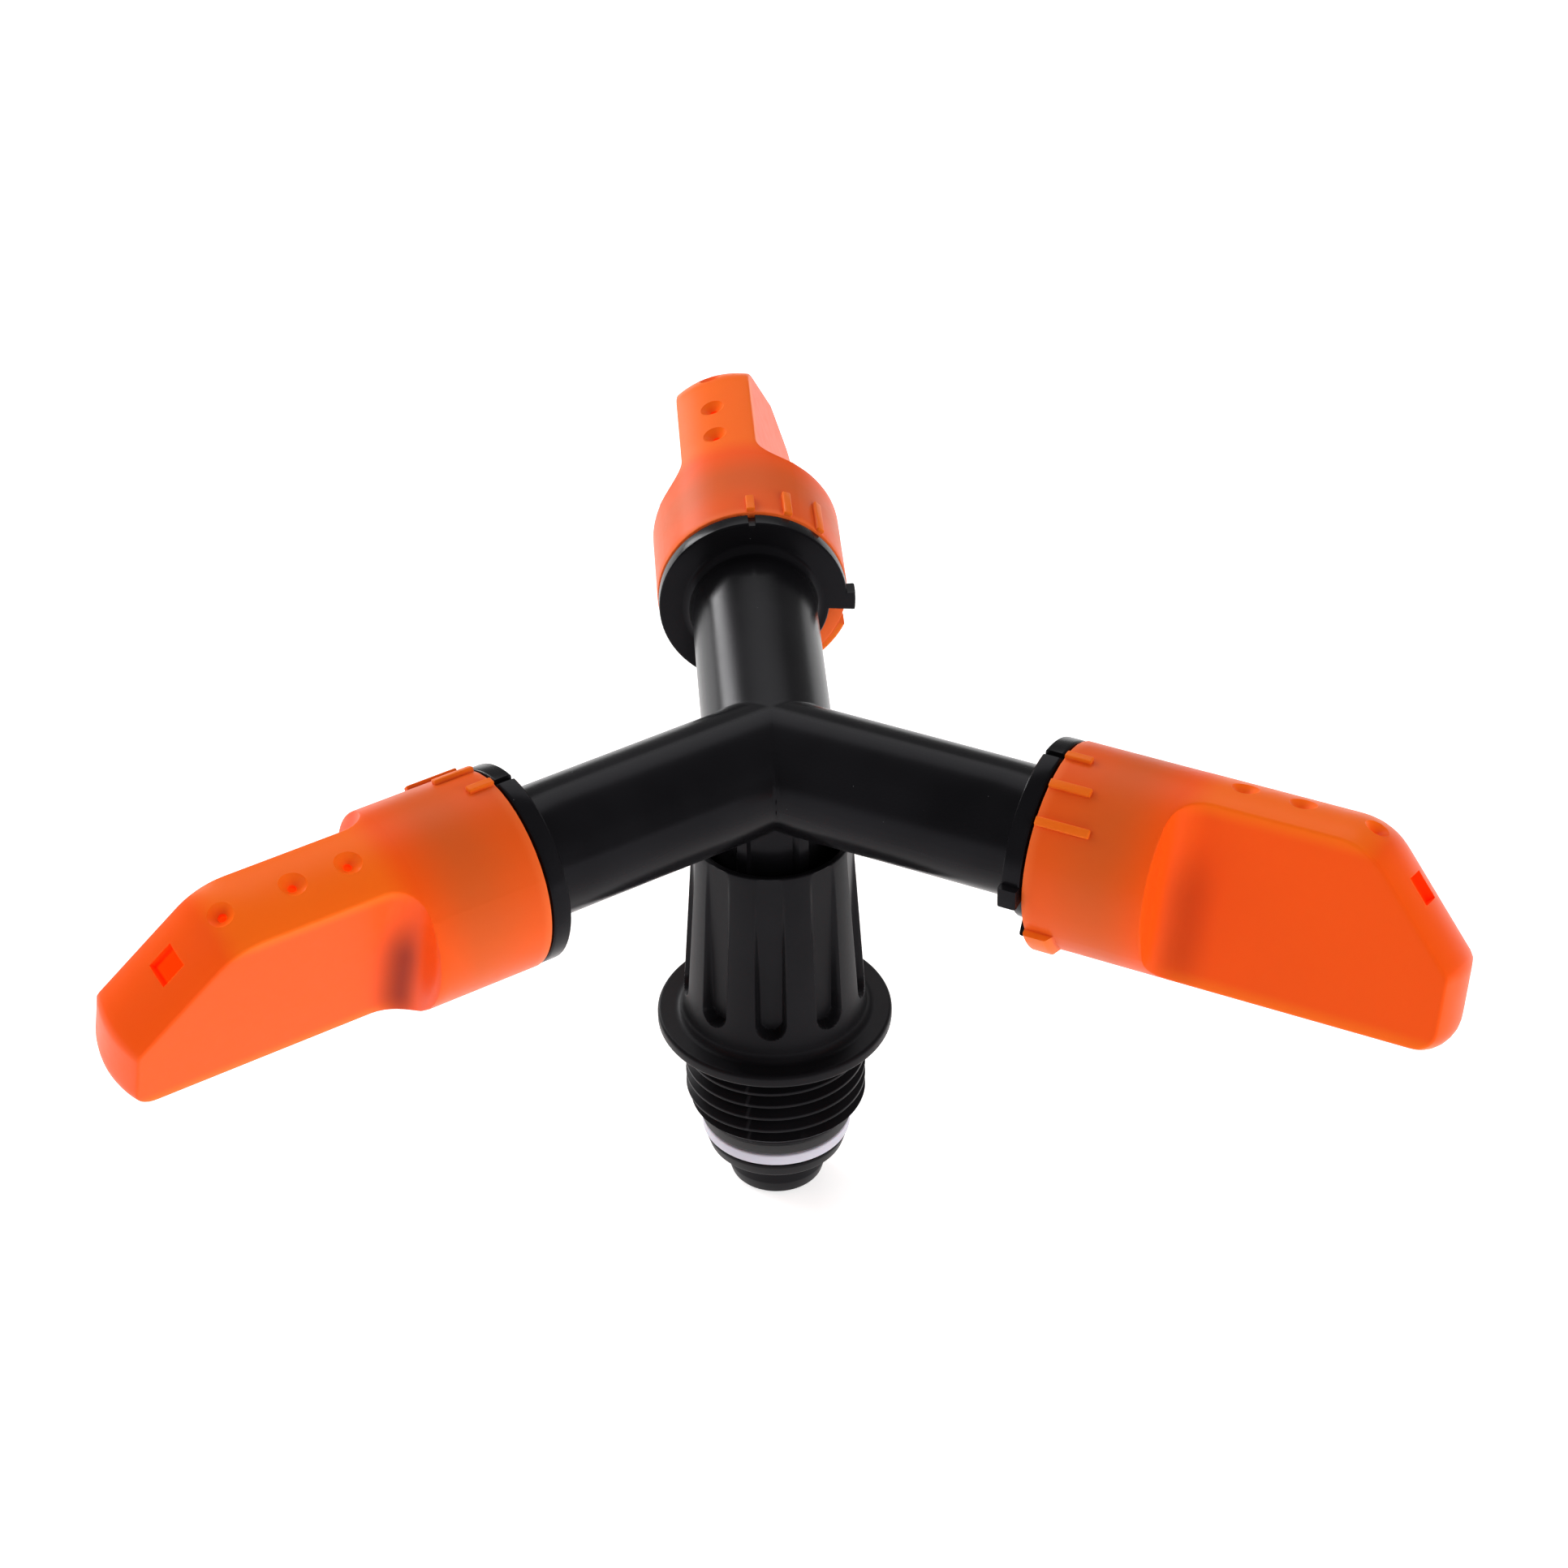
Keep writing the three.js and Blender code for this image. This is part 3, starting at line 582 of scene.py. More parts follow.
def seal_rubber(finish):
    """Dull black rubber of the seals."""
    shader = Shader("seal_rubber", IOR=1.45)
    fine = shader.noise(shader.place(), size=0.0005, detail=4, roughness=0.65)
    shader.feed("Base Color", shader.mix(fine, scaled(finish.rubber, 0.8), scaled(finish.rubber, 1.3)))
    shader.feed("Roughness", fine * 0.12 + 0.46)
    shader.bump(fine, distance=0.00003, strength=0.6)
    return shader.material


def bush_plastic(finish):
    """White moulding of the bush and the thrust washer."""
    shader = Shader("white_bush_plastic", IOR=1.49, Subsurface_Weight=0.15, Subsurface_Scale=0.001)
    place = shader.place()
    broad = shader.noise(place, size=0.004, detail=3)
    fine = shader.noise(place, size=0.0006, detail=3)
    shader.feed("Base Color", shader.mix(broad, scaled(finish.white, 0.94), tuple(finish.white)))
    shader.feed("Roughness", broad * 0.1 + 0.34)
    shader.bump(fine, distance=0.00002, strength=0.5)
    return shader.material


# Places on a nozzle, in metres: s along the arm from the stem axis, w across it, v up from the arm's axis.
SPIGOT_END = (0.0430, 0.0500)   # s where the painted shade of the spigot behind the wall fades out
SPIGOT_DARKENS = (0.0365, 0.0425)       # s over which that painted shade grows
RIM_END = (0.0350, 0.0362)      # s where the painted glow of the rim fades out
FLAT_WIDTH = (0.0040, 0.0066)   # distance of the flats from the middle
PATCH_HEIGHT = (-0.0105, 0.0030)        # v of the painted shadow patch
PATCH_LENGTH = (-0.0012, 0.0036)        # s of the painted shadow patch, from the start of the slab
EDGE_DEPTH = (0.0016, 0.0002)   # under the outside radius, where the crest turns amber
SUNK = (0.9, 1.5)               # millimetres under the uncut outside: the window and the jet holes, which get a painted glow
RAISED = (0.08, 0.3)            # millimetres above it: the marks and the lug
RIM_GLOW_ORANGE = (0.95, 0.20, 0.05)
RAISED_ORANGE = (0.84, 0.155, 0.008)
SUNK_GLOW_ORANGE = (0.80, 0.035, 0.001)
PALE_DUST = (1.0, 0.62, 0.42)
DARK_PIT = (0.12, 0.02, 0.008)


def nozzle_plastic(finish, sizes):
    """Translucent orange moulding, with painted shade where the black spigot and the bore's end stand behind
    it, and a painted glow at its rim and in its hollows.
    """
    shader = Shader("translucent_orange_plastic", IOR=1.46, Specular_IOR_Level=0.12, Subsurface_Weight=0.12,
                    Subsurface_Scale=0.0016, Subsurface_Radius=(1.0, 0.3, 0.08), Emission_Strength=1.0)
    place = shader.place("along_arm")
    s, w, v = shader.axes(place)
    radius, start = sizes.radius * MM, sizes.slab_start * MM
    spigot = 1 - s.ramp(*SPIGOT_END)
    rim_glow = 1 - s.ramp(*RIM_END)
    shade_blotches = shader.noise(place, size=0.006, detail=2)
    mottled = shader.noise(place, size=0.0022, detail=3)
    flat = abs(w).band(*FLAT_WIDTH, soft=0.0012)
    # painted shadow: the bore's end, as if seen through the thin floor at the start of the flats, below the
    # axis
    low = v.band(*PATCH_HEIGHT, soft=0.0040)
    reach = (s + w * 0.22).band(start + PATCH_LENGTH[0], start + PATCH_LENGTH[1], soft=0.0022)
    bore_shade_mask = reach * flat * low * (w * 60 + 0.68)
    from_axis = shader.length_of(shader.node("ShaderNodeCombineXYZ", {}, {1: w, 2: v}).outputs[0])
    edge = from_axis.ramp(radius - EDGE_DEPTH[0], radius - EDGE_DEPTH[1]) * s.ramp(start, start + 0.004)
    depth = shader.attribute("depth")
    sunk, raised = depth.ramp(*SUNK), (depth * -1).ramp(*RAISED)
    body = shader.mix(edge * 0.7, tuple(finish.orange), tuple(finish.amber))
    # painted shade over the spigot, stronger further in and blotched by noise
    behind = s.ramp(*SPIGOT_DARKENS) * 0.3 + shade_blotches * 0.25 + 0.38
    shaded = shader.mix(spigot * behind, body, tuple(finish.shadowed))
    # painted glow along the rim at the nozzle's open end
    glowing = shader.mix(rim_glow * 0.3, shaded, RIM_GLOW_ORANGE)
    bore_shaded = shader.mix(bore_shade_mask, glowing, tuple(finish.bore_shade))
    dust = shader.specks(place, spacing=0.0040, radius=0.00009, portion=0.22)
    pits = shader.specks(shader.place(), spacing=0.0085, radius=0.00007, portion=0.16)
    dusted = shader.mix(dust * 0.45, bore_shaded, PALE_DUST)
    pitted = shader.mix(pits * 0.6, dusted, DARK_PIT)
    lifted = shader.mix(raised * 0.8, pitted, RAISED_ORANGE)
    # painted glow: a deeper orange in the window and the jet holes
    shader.feed("Base Color", shader.mix(sunk * 0.7, lifted, SUNK_GLOW_ORANGE))
    # and emission there, standing in for light through the plastic
    inside = sunk * s.ramp(start, start + 0.001)
    shader.feed("Emission Color", shader.mix(inside, (0, 0, 0), tuple(finish.glow)))
    fine = shader.noise(place, size=0.0009, detail=4, roughness=0.6)
    hair = shader.scratches(place, spacing=0.0065, stretch=LONG_SCRATCH, portion=0.14)
    shader.feed("Roughness", mottled * 0.10 + fine * 0.06 + hair * 0.1 + 0.30)
    relief = fine * 0.22 + mottled * 0.5 + dust * 0.7 - pits * 0.7 - hair * 0.3
    shader.bump(relief, distance=0.00003, strength=0.7)
    return shader.material


# ---- threaded base ------------------------------------------------------------------------------
COLUMNS_PER_FLUTE = 40
FLUTE_LIP = 0.42                # width of the rounded lip of a flute
THREAD_STEPS = 132              # steps in one turn of the thread
BODY_SIDE = (1.0, 0.25)         # the body's side begins above its foot round and ends below its rim
MOUTH_DEPTH, LEDGE_DEPTH = 12.5, 15.5   # of the mouth's floor and the bush's ledge, from the top
SIDE_START, SIDE_STEP, SIDE_ROWS = 1.6, 0.16, 34        # close rows round the flutes' lower ends
LONG_START, LONG_END, LONG_ROWS = 7.6, 1.0, 9           # spread rows above them, up to the rim
COLUMN_SHARES = (0.36, 0.8)     # shares of half a sector where the close columns begin and end
EDGE_COLUMNS = (0.55, 0.35)     # width of the close columns, inside and outside that edge
THREAD_FLANKS = (0.10, 0.62, 0.98, 1.50)        # heights in one pitch where the flanks begin and end
THREAD_ROUNDS = (0.12, 0.14)    # at the root and at the crest
THREAD_RUNOUT = (-1.15, -2.5)   # heights where the thread is gone and where it is full
LEAD_IN = (0.35, 0.9)           # height of the chamfer's start above the shank's end, and its slope
THREAD_TOP, THREAD_FOOT = -0.12, 0.34   # where the thread's skin is cut, under the flange and above the end


def flute_column(share_across, edge, half_width):
    """Distance from a flute's centre line, with most columns close to the flute's sides."""
    side, (inner, outer) = abs(share_across), COLUMN_SHARES
    inside, outside = half_width - EDGE_COLUMNS[0], half_width + EDGE_COLUMNS[1]
    if side < inner:
        reach = inside * side / inner
    elif side < outer:
        reach = inside + (outside - inside) * (side - inner) / (outer - inner)
    else:
        reach = outside + (edge - outside) * (side - outer) / (1 - outer)
    return math.copysign(reach, share_across)


def press_flutes(bm, sizes, top):
    """Moves the body's side in to form the flutes."""
    foot = sizes.flange_thickness
    half = sizes.flute_width / 2
    sector = FULL_TURN / sizes.flutes
    centre = foot + sizes.flute_start + half
    for vert in bm.verts:
        radius, z = math.hypot(vert.co.x, vert.co.y), vert.co.z
        if radius < sizes.rim_radius - 0.2 or z < foot - 0.01:
            continue
        rise = (z - foot) / (top - foot)
        side = sizes.foot_radius + (sizes.rim_radius - sizes.foot_radius) * rise
        azimuth = math.atan2(vert.co.y, vert.co.x)
        turn = (azimuth - sizes.phase + sector / 2) % sector - sector / 2
        edge = radius * math.sin(sector / 2)
        across = flute_column(2 * turn / sector, edge, half)
        shifted = math.asin(across / radius)
        azimuth += shifted - turn
        if foot + BODY_SIDE[0] < z < top - BODY_SIDE[1] / 2 and radius < side + 0.2:
            out = abs(across) - half if z > centre else math.hypot(across, z - centre) - half
            depth = 1 - smoothstep(-FLUTE_LIP * 0.75, FLUTE_LIP * 0.25, out)
            floor = min(sizes.flute_floor / math.cos(shifted), radius)
            radius += (floor - radius) * depth
        vert.co.x, vert.co.y = radius * math.cos(azimuth), radius * math.sin(azimuth)


def body_skin(sizes, top, bottom):
    """The base without its thread: flange, fluted body, mouth and bores, open where the thread goes."""
    foot, rim = sizes.flange_thickness, sizes.rim_radius
    mouth_floor, ledge = top - MOUTH_DEPTH, top - LEDGE_DEPTH
    root, bore, shaft = sizes.root_radius, SEAT_RADIUS, SHAFT_RADIUS
    lean = (sizes.foot_radius - rim) / (top - foot)
    fine_rows = [foot + SIDE_START + SIDE_STEP * i for i in range(SIDE_ROWS)]
    reach = top - foot - LONG_START - LONG_END
    long_rows = [foot + LONG_START + reach * i / LONG_ROWS for i in range(LONG_ROWS + 1)]
    side = [(rim + lean * (top - z), z) for z in fine_rows + long_rows]
    lower = rounded([(root, -0.02, 0), (sizes.flange_radius, 0, 0.35), (sizes.flange_radius, foot, 0.45),
                     (sizes.foot_radius, foot, 1.1), side[0]])
    upper = rounded([side[-1], (rim, top, 0.28), (sizes.mouth_radius, top, 0.22),
                     (sizes.mouth_radius, mouth_floor, 0), (shaft, mouth_floor, 0), (shaft, ledge, 0),
                     (bore, ledge, 0), (bore, bottom, 0.25), (root, bottom, 0.15), (root, bottom + 0.3, 0)])
    bm = spun(lower[:-1] + side + upper[1:], sizes.flutes * COLUMNS_PER_FLUTE)
    press_flutes(bm, sizes, top)
    return bm


def thread_skin(sizes, bottom):
    """One pitch of the thread's outline, screwed up the stem, fading out at both ends."""
    root, crest, pitch = sizes.root_radius, sizes.crest_radius, sizes.pitch
    (rise, top, over, fall), (inner, outer) = THREAD_FLANKS, THREAD_ROUNDS
    outline = rounded([(root, 0, 0), (root, rise, inner), (crest, top, outer), (crest, over, outer),
                       (root, fall, inner), (root, pitch, 0)], steps=3)
    turns = math.ceil((abs(bottom) + 2 * pitch) / pitch)
    low = bottom - 1.5 * pitch
    bm = bmesh.new()
    verts = [bm.verts.new((r, 0, low + z)) for r, z in outline]
    edges = [bm.edges.new(pair) for pair in zip(verts, verts[1:])]
    bmesh.ops.spin(bm, geom=verts + edges, cent=(0, 0, 0), axis=(0, 0, 1), angle=FULL_TURN * turns,
                   steps=THREAD_STEPS * turns, dvec=(0, 0, pitch / THREAD_STEPS))
    bmesh.ops.remove_doubles(bm, verts=bm.verts, dist=1e-3)
    for vert in bm.verts:
        radius = math.hypot(vert.co.x, vert.co.y)
        fade = smoothstep(*THREAD_RUNOUT, vert.co.z)
        lead_in = root + 0.05 + max(vert.co.z - (bottom + LEAD_IN[0]), 0) * LEAD_IN[1]
        wanted = root + (min(radius, lead_in) - root) * fade if radius > root else root
        vert.co.xy = vert.co.xy * (max(wanted, root) / radius)
    for height, up in ((THREAD_TOP, 1), (bottom + THREAD_FOOT, -1)):
        geom = bm.verts[:] + bm.edges[:] + bm.faces[:]
        bmesh.ops.bisect_plane(
            bm, geom=geom, dist=1e-5, plane_co=(0, 0, height), plane_no=(0, 0, up), clear_outer=True)
    return bm


def base_skin(sizes):
    """The body and the thread, bridged above and below the thread."""
    top, bottom = BASE_HIGH.z, BASE_LOW.z
    bm = gathered([body_skin(sizes, top, bottom), thread_skin(sizes, bottom)])
    for above in (True, False):
        rim = [edge for edge in bm.edges if edge.is_boundary
               and (edge.verts[0].co.z > bottom / 2) == above]
        bmesh.ops.bridge_loops(bm, edges=rim)
    return cleaned(bm)


# ---- rotor --------------------------------------------------------------------------------------
TUBE_FACETS = 96
HUB_ROWS = (0.0, 0.22, 0.5, 1.0, 2.0, 3.4)      # first rows of an arm, from where it meets the others
ARM_ROWS = (8.5, 12, 16, 20, 24, 28)    # distances of the next ones from the stem axis
COLLAR_START = ((0, 0.30), (0.04, 0.12), (0.16, 0.02), (0.34, 0.0))     # rows after its inner face,
COLLAR_END = ((0.34, 0.0), (0.14, 0.03), (0.03, 0.12), (0, 0.30))       # before its outer one, and insets
CREASE_REACH = 0.4              # how far the hub's creases are softened
CREASE_ROUNDS = 2
RELIEF_ANGLE, TAB_START, TAB_END = -150, -96.4, -85     # round the collar, from its top
STEP_SIDES = (-0.45, -0.15, 0.15, 0.45)         # places of the close points at each step of the rim
GROOVE_START, GROOVE_WIDTH, GROOVE_DEPTH = 3.2, 1.6, 1.2        # the O-ring's, from the collar's face
BEAD_START, BEAD_WIDTH, BEAD_SLOPE, BEAD_HEIGHT = 8.6, 1.2, 0.5, 0.5    # the snap bead's
SPIGOT_LENGTH, SPIGOT_CHAMFER = 11, 0.3
HUB_CORE = 10                   # distance from the stem axis where an arm's bore ends
NECK_FACETS, NECK_RIBS, NECK_PHASE = 144, 6, math.radians(-63.13)
NECK_RIB_HALF, NECK_BORE = 0.85, 5.2
NECK_SINK = 4.5                 # how far below the arms' axis the neck ends, inside the hub


def collar_angles(sizes):
    """Angles round an arm from the top, with pairs close together where the collar's rim steps."""
    even = [i * 360 / TUBE_FACETS - 180 for i in range(TUBE_FACETS)]
    half_notch = math.degrees(sizes.notch_width / 2 / sizes.collar_radius)
    steps = [RELIEF_ANGLE, TAB_START, TAB_END, -half_notch, half_notch]
    pairs = [edge + side for edge in steps for side in STEP_SIDES]
    kept = [a for a in even if all(abs(a - pair) > 1.2 for pair in pairs)]
    return sorted(kept + pairs)


def collar_rim(degrees, sizes):
    """Radius of the collar's rim at an angle from the top, with its notch, tab and relief."""
    half_notch = math.degrees(sizes.notch_width / 2 / sizes.collar_radius)
    if abs(degrees) < half_notch:
        return sizes.collar_radius - sizes.notch_depth
    if TAB_START < degrees < TAB_END:
        return sizes.tab_radius
    if RELIEF_ANGLE < degrees < TAB_START:
        return sizes.relief_radius
    return sizes.collar_radius


def arm_stations(sizes):
    """Rows of an arm as (distance, radius), and of its collar as (distance, inset from its rim)."""
    tube, start, fillet = sizes.tube_radius, sizes.collar_start, sizes.collar_fillet
    run = [(s, tube) for s in ARM_ROWS] + arc((start - fillet, tube + fillet), fillet, -90, 0, 6)
    return run, ([(start + after, inset) for after, inset in COLLAR_START]
                 + [(sizes.collar_end - before, inset) for before, inset in COLLAR_END])


def arm_skin(sizes):
    """One arm with its axis along X, from the planes where it meets the other two to its spigot."""
    angles = [math.radians(a) for a in collar_angles(sizes)]
    rims = [collar_rim(math.degrees(a), sizes) for a in angles]

    def ring(s, radii):
        return [(s, r * math.sin(a), r * math.cos(a)) for a, r in zip(angles, radii)]

    def even_ring(s, radius):
        return ring(s, [radius] * len(angles))

    tube, bore, spigot, end = sizes.tube_radius, sizes.bore_radius, sizes.spigot_radius, sizes.collar_end
    crease = even_ring(0, tube)
    rows = [[(abs(w) / math.sqrt(3) + row, w, v) for _, w, v in crease] for row in HUB_ROWS]
    run, collar = arm_stations(sizes)
    rows += [even_ring(s, r) for s, r in run]
    rows += [ring(s, [max(rim - inset, tube + 0.9) for rim in rims]) for s, inset in collar]
    groove, bead, tip = end + GROOVE_START, end + BEAD_START, end + SPIGOT_LENGTH
    floor, crown = spigot - GROOVE_DEPTH, spigot + BEAD_HEIGHT
    rows += [even_ring(s, r) for s, r in (
        (end, spigot), (groove, spigot), (groove, floor), (groove + GROOVE_WIDTH, floor),
        (groove + GROOVE_WIDTH, spigot), (bead - BEAD_SLOPE, spigot), (bead, crown),
        (bead + BEAD_WIDTH, crown), (bead + BEAD_WIDTH + BEAD_SLOPE, spigot),
        (tip - SPIGOT_CHAMFER, spigot), (tip, spigot - SPIGOT_CHAMFER), (tip, bore),
        (HUB_CORE, bore), (HUB_CORE, 0.4), (HUB_CORE, 0))]
    return swept(rows)


def neck_skin(sizes, bottom, top):
    """The ribbed neck under the hub, with its socket for the spindle."""
    base, half_sector = sizes.neck_radius, math.pi / NECK_RIBS
    turns = [FULL_TURN * i / NECK_FACETS for i in range(NECK_FACETS)]

    def plain(z, radii):
        return [(r * math.cos(turn), r * math.sin(turn), z) for r, turn in zip(radii, turns)]

    def ribbed(z, inset):
        radii = []
        for turn in turns:
            offset = (turn - NECK_PHASE + half_sector) % (FULL_TURN / NECK_RIBS) - half_sector
            rib = smoothstep(NECK_RIB_HALF + 0.15, NECK_RIB_HALF - 0.25, abs(offset) * base)
            radii.append(base + rib * sizes.neck_rib_height - inset)
        return plain(z, radii)

    bore = [NECK_BORE] * NECK_FACETS
    bm = swept([plain(top - 1, bore), plain(bottom, bore), ribbed(bottom, 0.25), ribbed(bottom + 0.25, 0),
                ribbed((bottom + top) / 2, 0), ribbed(top, 0)])
    close_holes(bm)
    return cleaned(bm)


def arm_turn(name):
    """Sets what is shaped along X in an arm's place."""
    return Matrix.Translation((0, 0, ARM_HEIGHT)) @ Matrix.Rotation(math.radians(ARMS[name]), 4, "Z")


def crease_verts(bm, sizes):
    """The points close to the creases where two arms meet, on the outside of the hub."""
    hub = []
    for vert in bm.verts:
        x, y = vert.co.x, vert.co.y
        if math.hypot(x, y) > sizes.tube_radius * 1.3:
            continue
        gaps = []
        for name in ARMS:
            turn = math.radians(ARMS[name] + 60)
            if x * math.cos(turn) + y * math.sin(turn) > -0.1:
                gaps.append(abs(-x * math.sin(turn) + y * math.cos(turn)))
        outside = math.hypot(math.hypot(x, y), vert.co.z - ARM_HEIGHT) > sizes.tube_radius - 0.2
        if gaps and min(gaps) < CREASE_REACH and outside:
            hub.append(vert)
    return hub


def rotor_skin(sizes):
    """Three arms that meet in the hub, with its creases softened, and the neck below."""
    arm = arm_skin(sizes)
    bm = gathered([copied(arm, arm_turn(name)) for name in ARMS])
    arm.free()
    bmesh.ops.remove_doubles(bm, verts=bm.verts, dist=2e-3)
    hub = crease_verts(bm, sizes)
    for _ in range(CREASE_ROUNDS):
        bmesh.ops.smooth_vert(bm, verts=hub, factor=0.5, use_axis_x=True, use_axis_y=True, use_axis_z=True)
    cleaned(bm)
    return gathered([bm, neck_skin(sizes, ROTOR_LOW.z, ARM_HEIGHT - NECK_SINK)])


# ---- nozzles ------------------------------------------------------------------------------------
TOP_POINTS = 13                 # across the top of a nozzle's section, and across its bottom
CORNER_POINTS = 4               # round each edge of the flats
SIDE_POINTS = 22                # down each side
TIP_OVERHANG = 0.5              # how far the crowned end stands past the flat end's plane
RIDGE_END, TIP_MIDDLE = -1.3, -5.0      # heights on the blunt end: where the slope ends, and its middle
RIDGE_ROUND, KEEL_ROUND = 1.6, 3.4      # rounds between the blunt end and the slope, and the underside
PATH_STEPS, PATH_RINGS = 10, 44
ROUND_START = ((0, 0.22), (0.06, 0.06), (0.22, 0))      # rows at the rim: place, and drop from the radius
SHOULDER_START = ((0.12, 0.035), (0.0, 0.14), (0.0, 0.5))   # rows before the flats, and share of the cut
SHOULDER_EDGE = 0.25            # round along the edges where the flats begin
BORE_RADIUS, BORE_ROOF = 8.7, 1.9       # of the bore for the spigot, and of the floor that closes it
SEAL_RADIUS, SEAL_PLACE = 7.92, 38.58   # of the O-ring in a spigot's groove, and its place along the arm
WALL = 2.0                      # round the water space in the slab
SPACE_OVERLAP = 1.5             # how far the water space reaches back into the bore
KEEL_WALL = 1.0                 # more wall under the water space
FLAT_JETS = (5.6, 12.0)         # places of two jet holes on the ridge, from the slab's start
CREST_JET = math.radians(20)    # turn of the third one, round the crest
WINDOW_DROP = 7.5               # of the square outlet, down the slope from the crest
WINDOW_CUT = (3.3, 6.4)         # length and depth of the outlet
JET_DEPTH = 4
MARKS = ((0, 3.0), (22.5, 4.7), (45, 6.1))      # turn of each setting mark in degrees, and its length
MARK_BEVEL, MARK_SINK = 0.16, 0.2
LUG_TURN = (115, 136)           # round the rim, from the ridge
LUG_LENGTH = (2.6, 3.7)         # of the lug's top, and of its foot
LUG_STEPS = 12


def half_section(radius, half_width, edge):
    """Top of the section from left to right: (across, drop below the top), with rounded corners."""
    turn = math.asin((half_width - edge) / (radius - edge))
    corner = []
    for i in range(CORNER_POINTS + 1):
        lean = turn + (math.pi / 2 - turn) * i / CORNER_POINTS
        across = (radius - edge) * math.sin(turn) + edge * math.sin(lean)
        up = (radius - edge) * math.cos(turn) + edge * math.cos(lean)
        corner.append((across, radius - up))
    crown = []
    for i in range(TOP_POINTS):
        lean = turn * (2 * i / (TOP_POINTS - 1) - 1)
        crown.append((radius * math.sin(lean), radius * (1 - math.cos(lean))))
    left = [(-across, drop) for across, drop in reversed(corner)]
    return left[:-1] + crown + corner[1:]


def section_ring(top, top_normal, bottom, bottom_normal, half):
    """A ring of the slab. top and bottom are places (s, v) on the ridge and the keel."""
    def along(place, normal, across, drop):
        return Vector((place[0] + normal[0] * drop, across, place[1] + normal[1] * drop))

    upper = [along(top, top_normal, across, drop) for across, drop in half]
    lower = [along(bottom, bottom_normal, across, drop) for across, drop in reversed(half)]
    right = [upper[-1].lerp(lower[0], i / (SIDE_POINTS + 1)) for i in range(1, SIDE_POINTS + 1)]
    left = [lower[-1].lerp(upper[0], i / (SIDE_POINTS + 1)) for i in range(1, SIDE_POINTS + 1)]
    return upper + right + lower + left


def round_ring(s, radius, angles):
    """A round ring of the nozzle, at a distance along the arm."""
    return [Vector((s, radius * math.sin(a), radius * math.cos(a))) for a in angles]


def crest_place(sizes, tip):
    """Distance along the arm where the ridge turns down into the slope."""
    return tip - (sizes.radius - RIDGE_END) / math.tan(sizes.slope)


def ridge_path(sizes, tip):
    """Centre lines of the slab's top and bottom, meeting in the middle of the blunt end."""
    radius, begin = sizes.radius, sizes.slab_start + sizes.shoulder_round
    ridge = rounded([(begin, radius, 0), (crest_place(sizes, tip), radius, sizes.crest_round),
                     (tip, RIDGE_END, RIDGE_ROUND), (tip, TIP_MIDDLE, 0)], PATH_STEPS)
    keel = rounded([(begin, -radius, 0), (tip, -radius, KEEL_ROUND), (tip, TIP_MIDDLE, 0)], PATH_STEPS)
    return ridge, keel


def path_normals(path, inwards):
    """Unit normals of an outline, pointing into the slab."""
    normals = []
    for i in range(len(path)):
        before, after = path[max(i - 1, 0)], path[min(i + 1, len(path) - 1)]
        along = (Vector(after) - Vector(before)).normalized()
        normals.append(Vector((along.y, -along.x)) * inwards)
    return normals


def nozzle_shell(sizes, tip):
    """The closed outside of a nozzle, its axis along X and its ridge up."""
    radius, half_slab, bend = sizes.radius, sizes.slab_width / 2, sizes.shoulder_round
    wall = half_slab + bend
    up, down = Vector((0, -1)), Vector((0, 1))

    def slab_ring(s, width, edge):
        return section_ring((s, radius), up, (s, -radius), down, half_section(radius, width, edge))

    chord = slab_ring(sizes.slab_start, wall, SHOULDER_EDGE)
    angles = [math.atan2(place.y, place.z) for place in chord]
    begin, end = NOZZLE_START, sizes.slab_start
    rings = [round_ring(begin, 0.5, angles), round_ring(begin, radius - 2.0, angles)]
    rings += [round_ring(begin + inset, radius - drop, angles) for inset, drop in ROUND_START]
    rings += [round_ring(begin + (end - begin) * i / 10, radius, angles) for i in range(1, 10)]
    rings.append(round_ring(end - 0.4, radius, angles))
    for back, share_in in SHOULDER_START:
        circle = round_ring(end - back, radius, angles)
        rings.append([place.lerp(Vector((end - back, goal.y, goal.z)), share_in)
                      for place, goal in zip(circle, chord)])
    for i in range(9):
        turn = math.pi / 2 * i / 8
        width = wall - bend * math.sin(turn)
        edge = SHOULDER_EDGE + (sizes.edge_round - SHOULDER_EDGE) * i / 8
        rings.append(slab_ring(end + bend - bend * math.cos(turn), width, edge))
    tops, bottoms = [evened(path, PATH_RINGS) for path in ridge_path(sizes, tip)]
    top_normals, bottom_normals = path_normals(tops, 1), path_normals(bottoms, -1)
    half = half_section(radius, half_slab, sizes.edge_round)
    for i in range(1, PATH_RINGS):
        rings.append(section_ring(tops[i], top_normals[i], bottoms[i], bottom_normals[i], half))
    bm = swept(rings)
    cleaned(bm)
    close_holes(bm)
    return cleaned(bm)


def turned_tool(outline, matrix, steps=40):
    """A closed turned shape whose outline starts and ends on its axis, set by a matrix."""
    bm = spun(outline, steps)
    bmesh.ops.transform(bm, matrix=matrix, verts=bm.verts)
    return bm


def jet_tool(sizes, s, v, tilt):
    """A dimple with a soft lip, and the jet hole at its bottom."""
    jet, dimple, depth = sizes.jet_radius, sizes.dimple_radius, sizes.dimple_depth
    outline = [(0, -JET_DEPTH)] + rounded(
        [(jet, -JET_DEPTH, 0), (jet, -depth, 0.1), (dimple - 0.12, -0.12, 0.25), (dimple + 0.25, 0.5, 0)],
        steps=4) + [(0, 0.5)]
    return turned_tool(outline, Matrix.Translation((s, 0, v)) @ Matrix.Rotation(tilt, 4, "Y"))


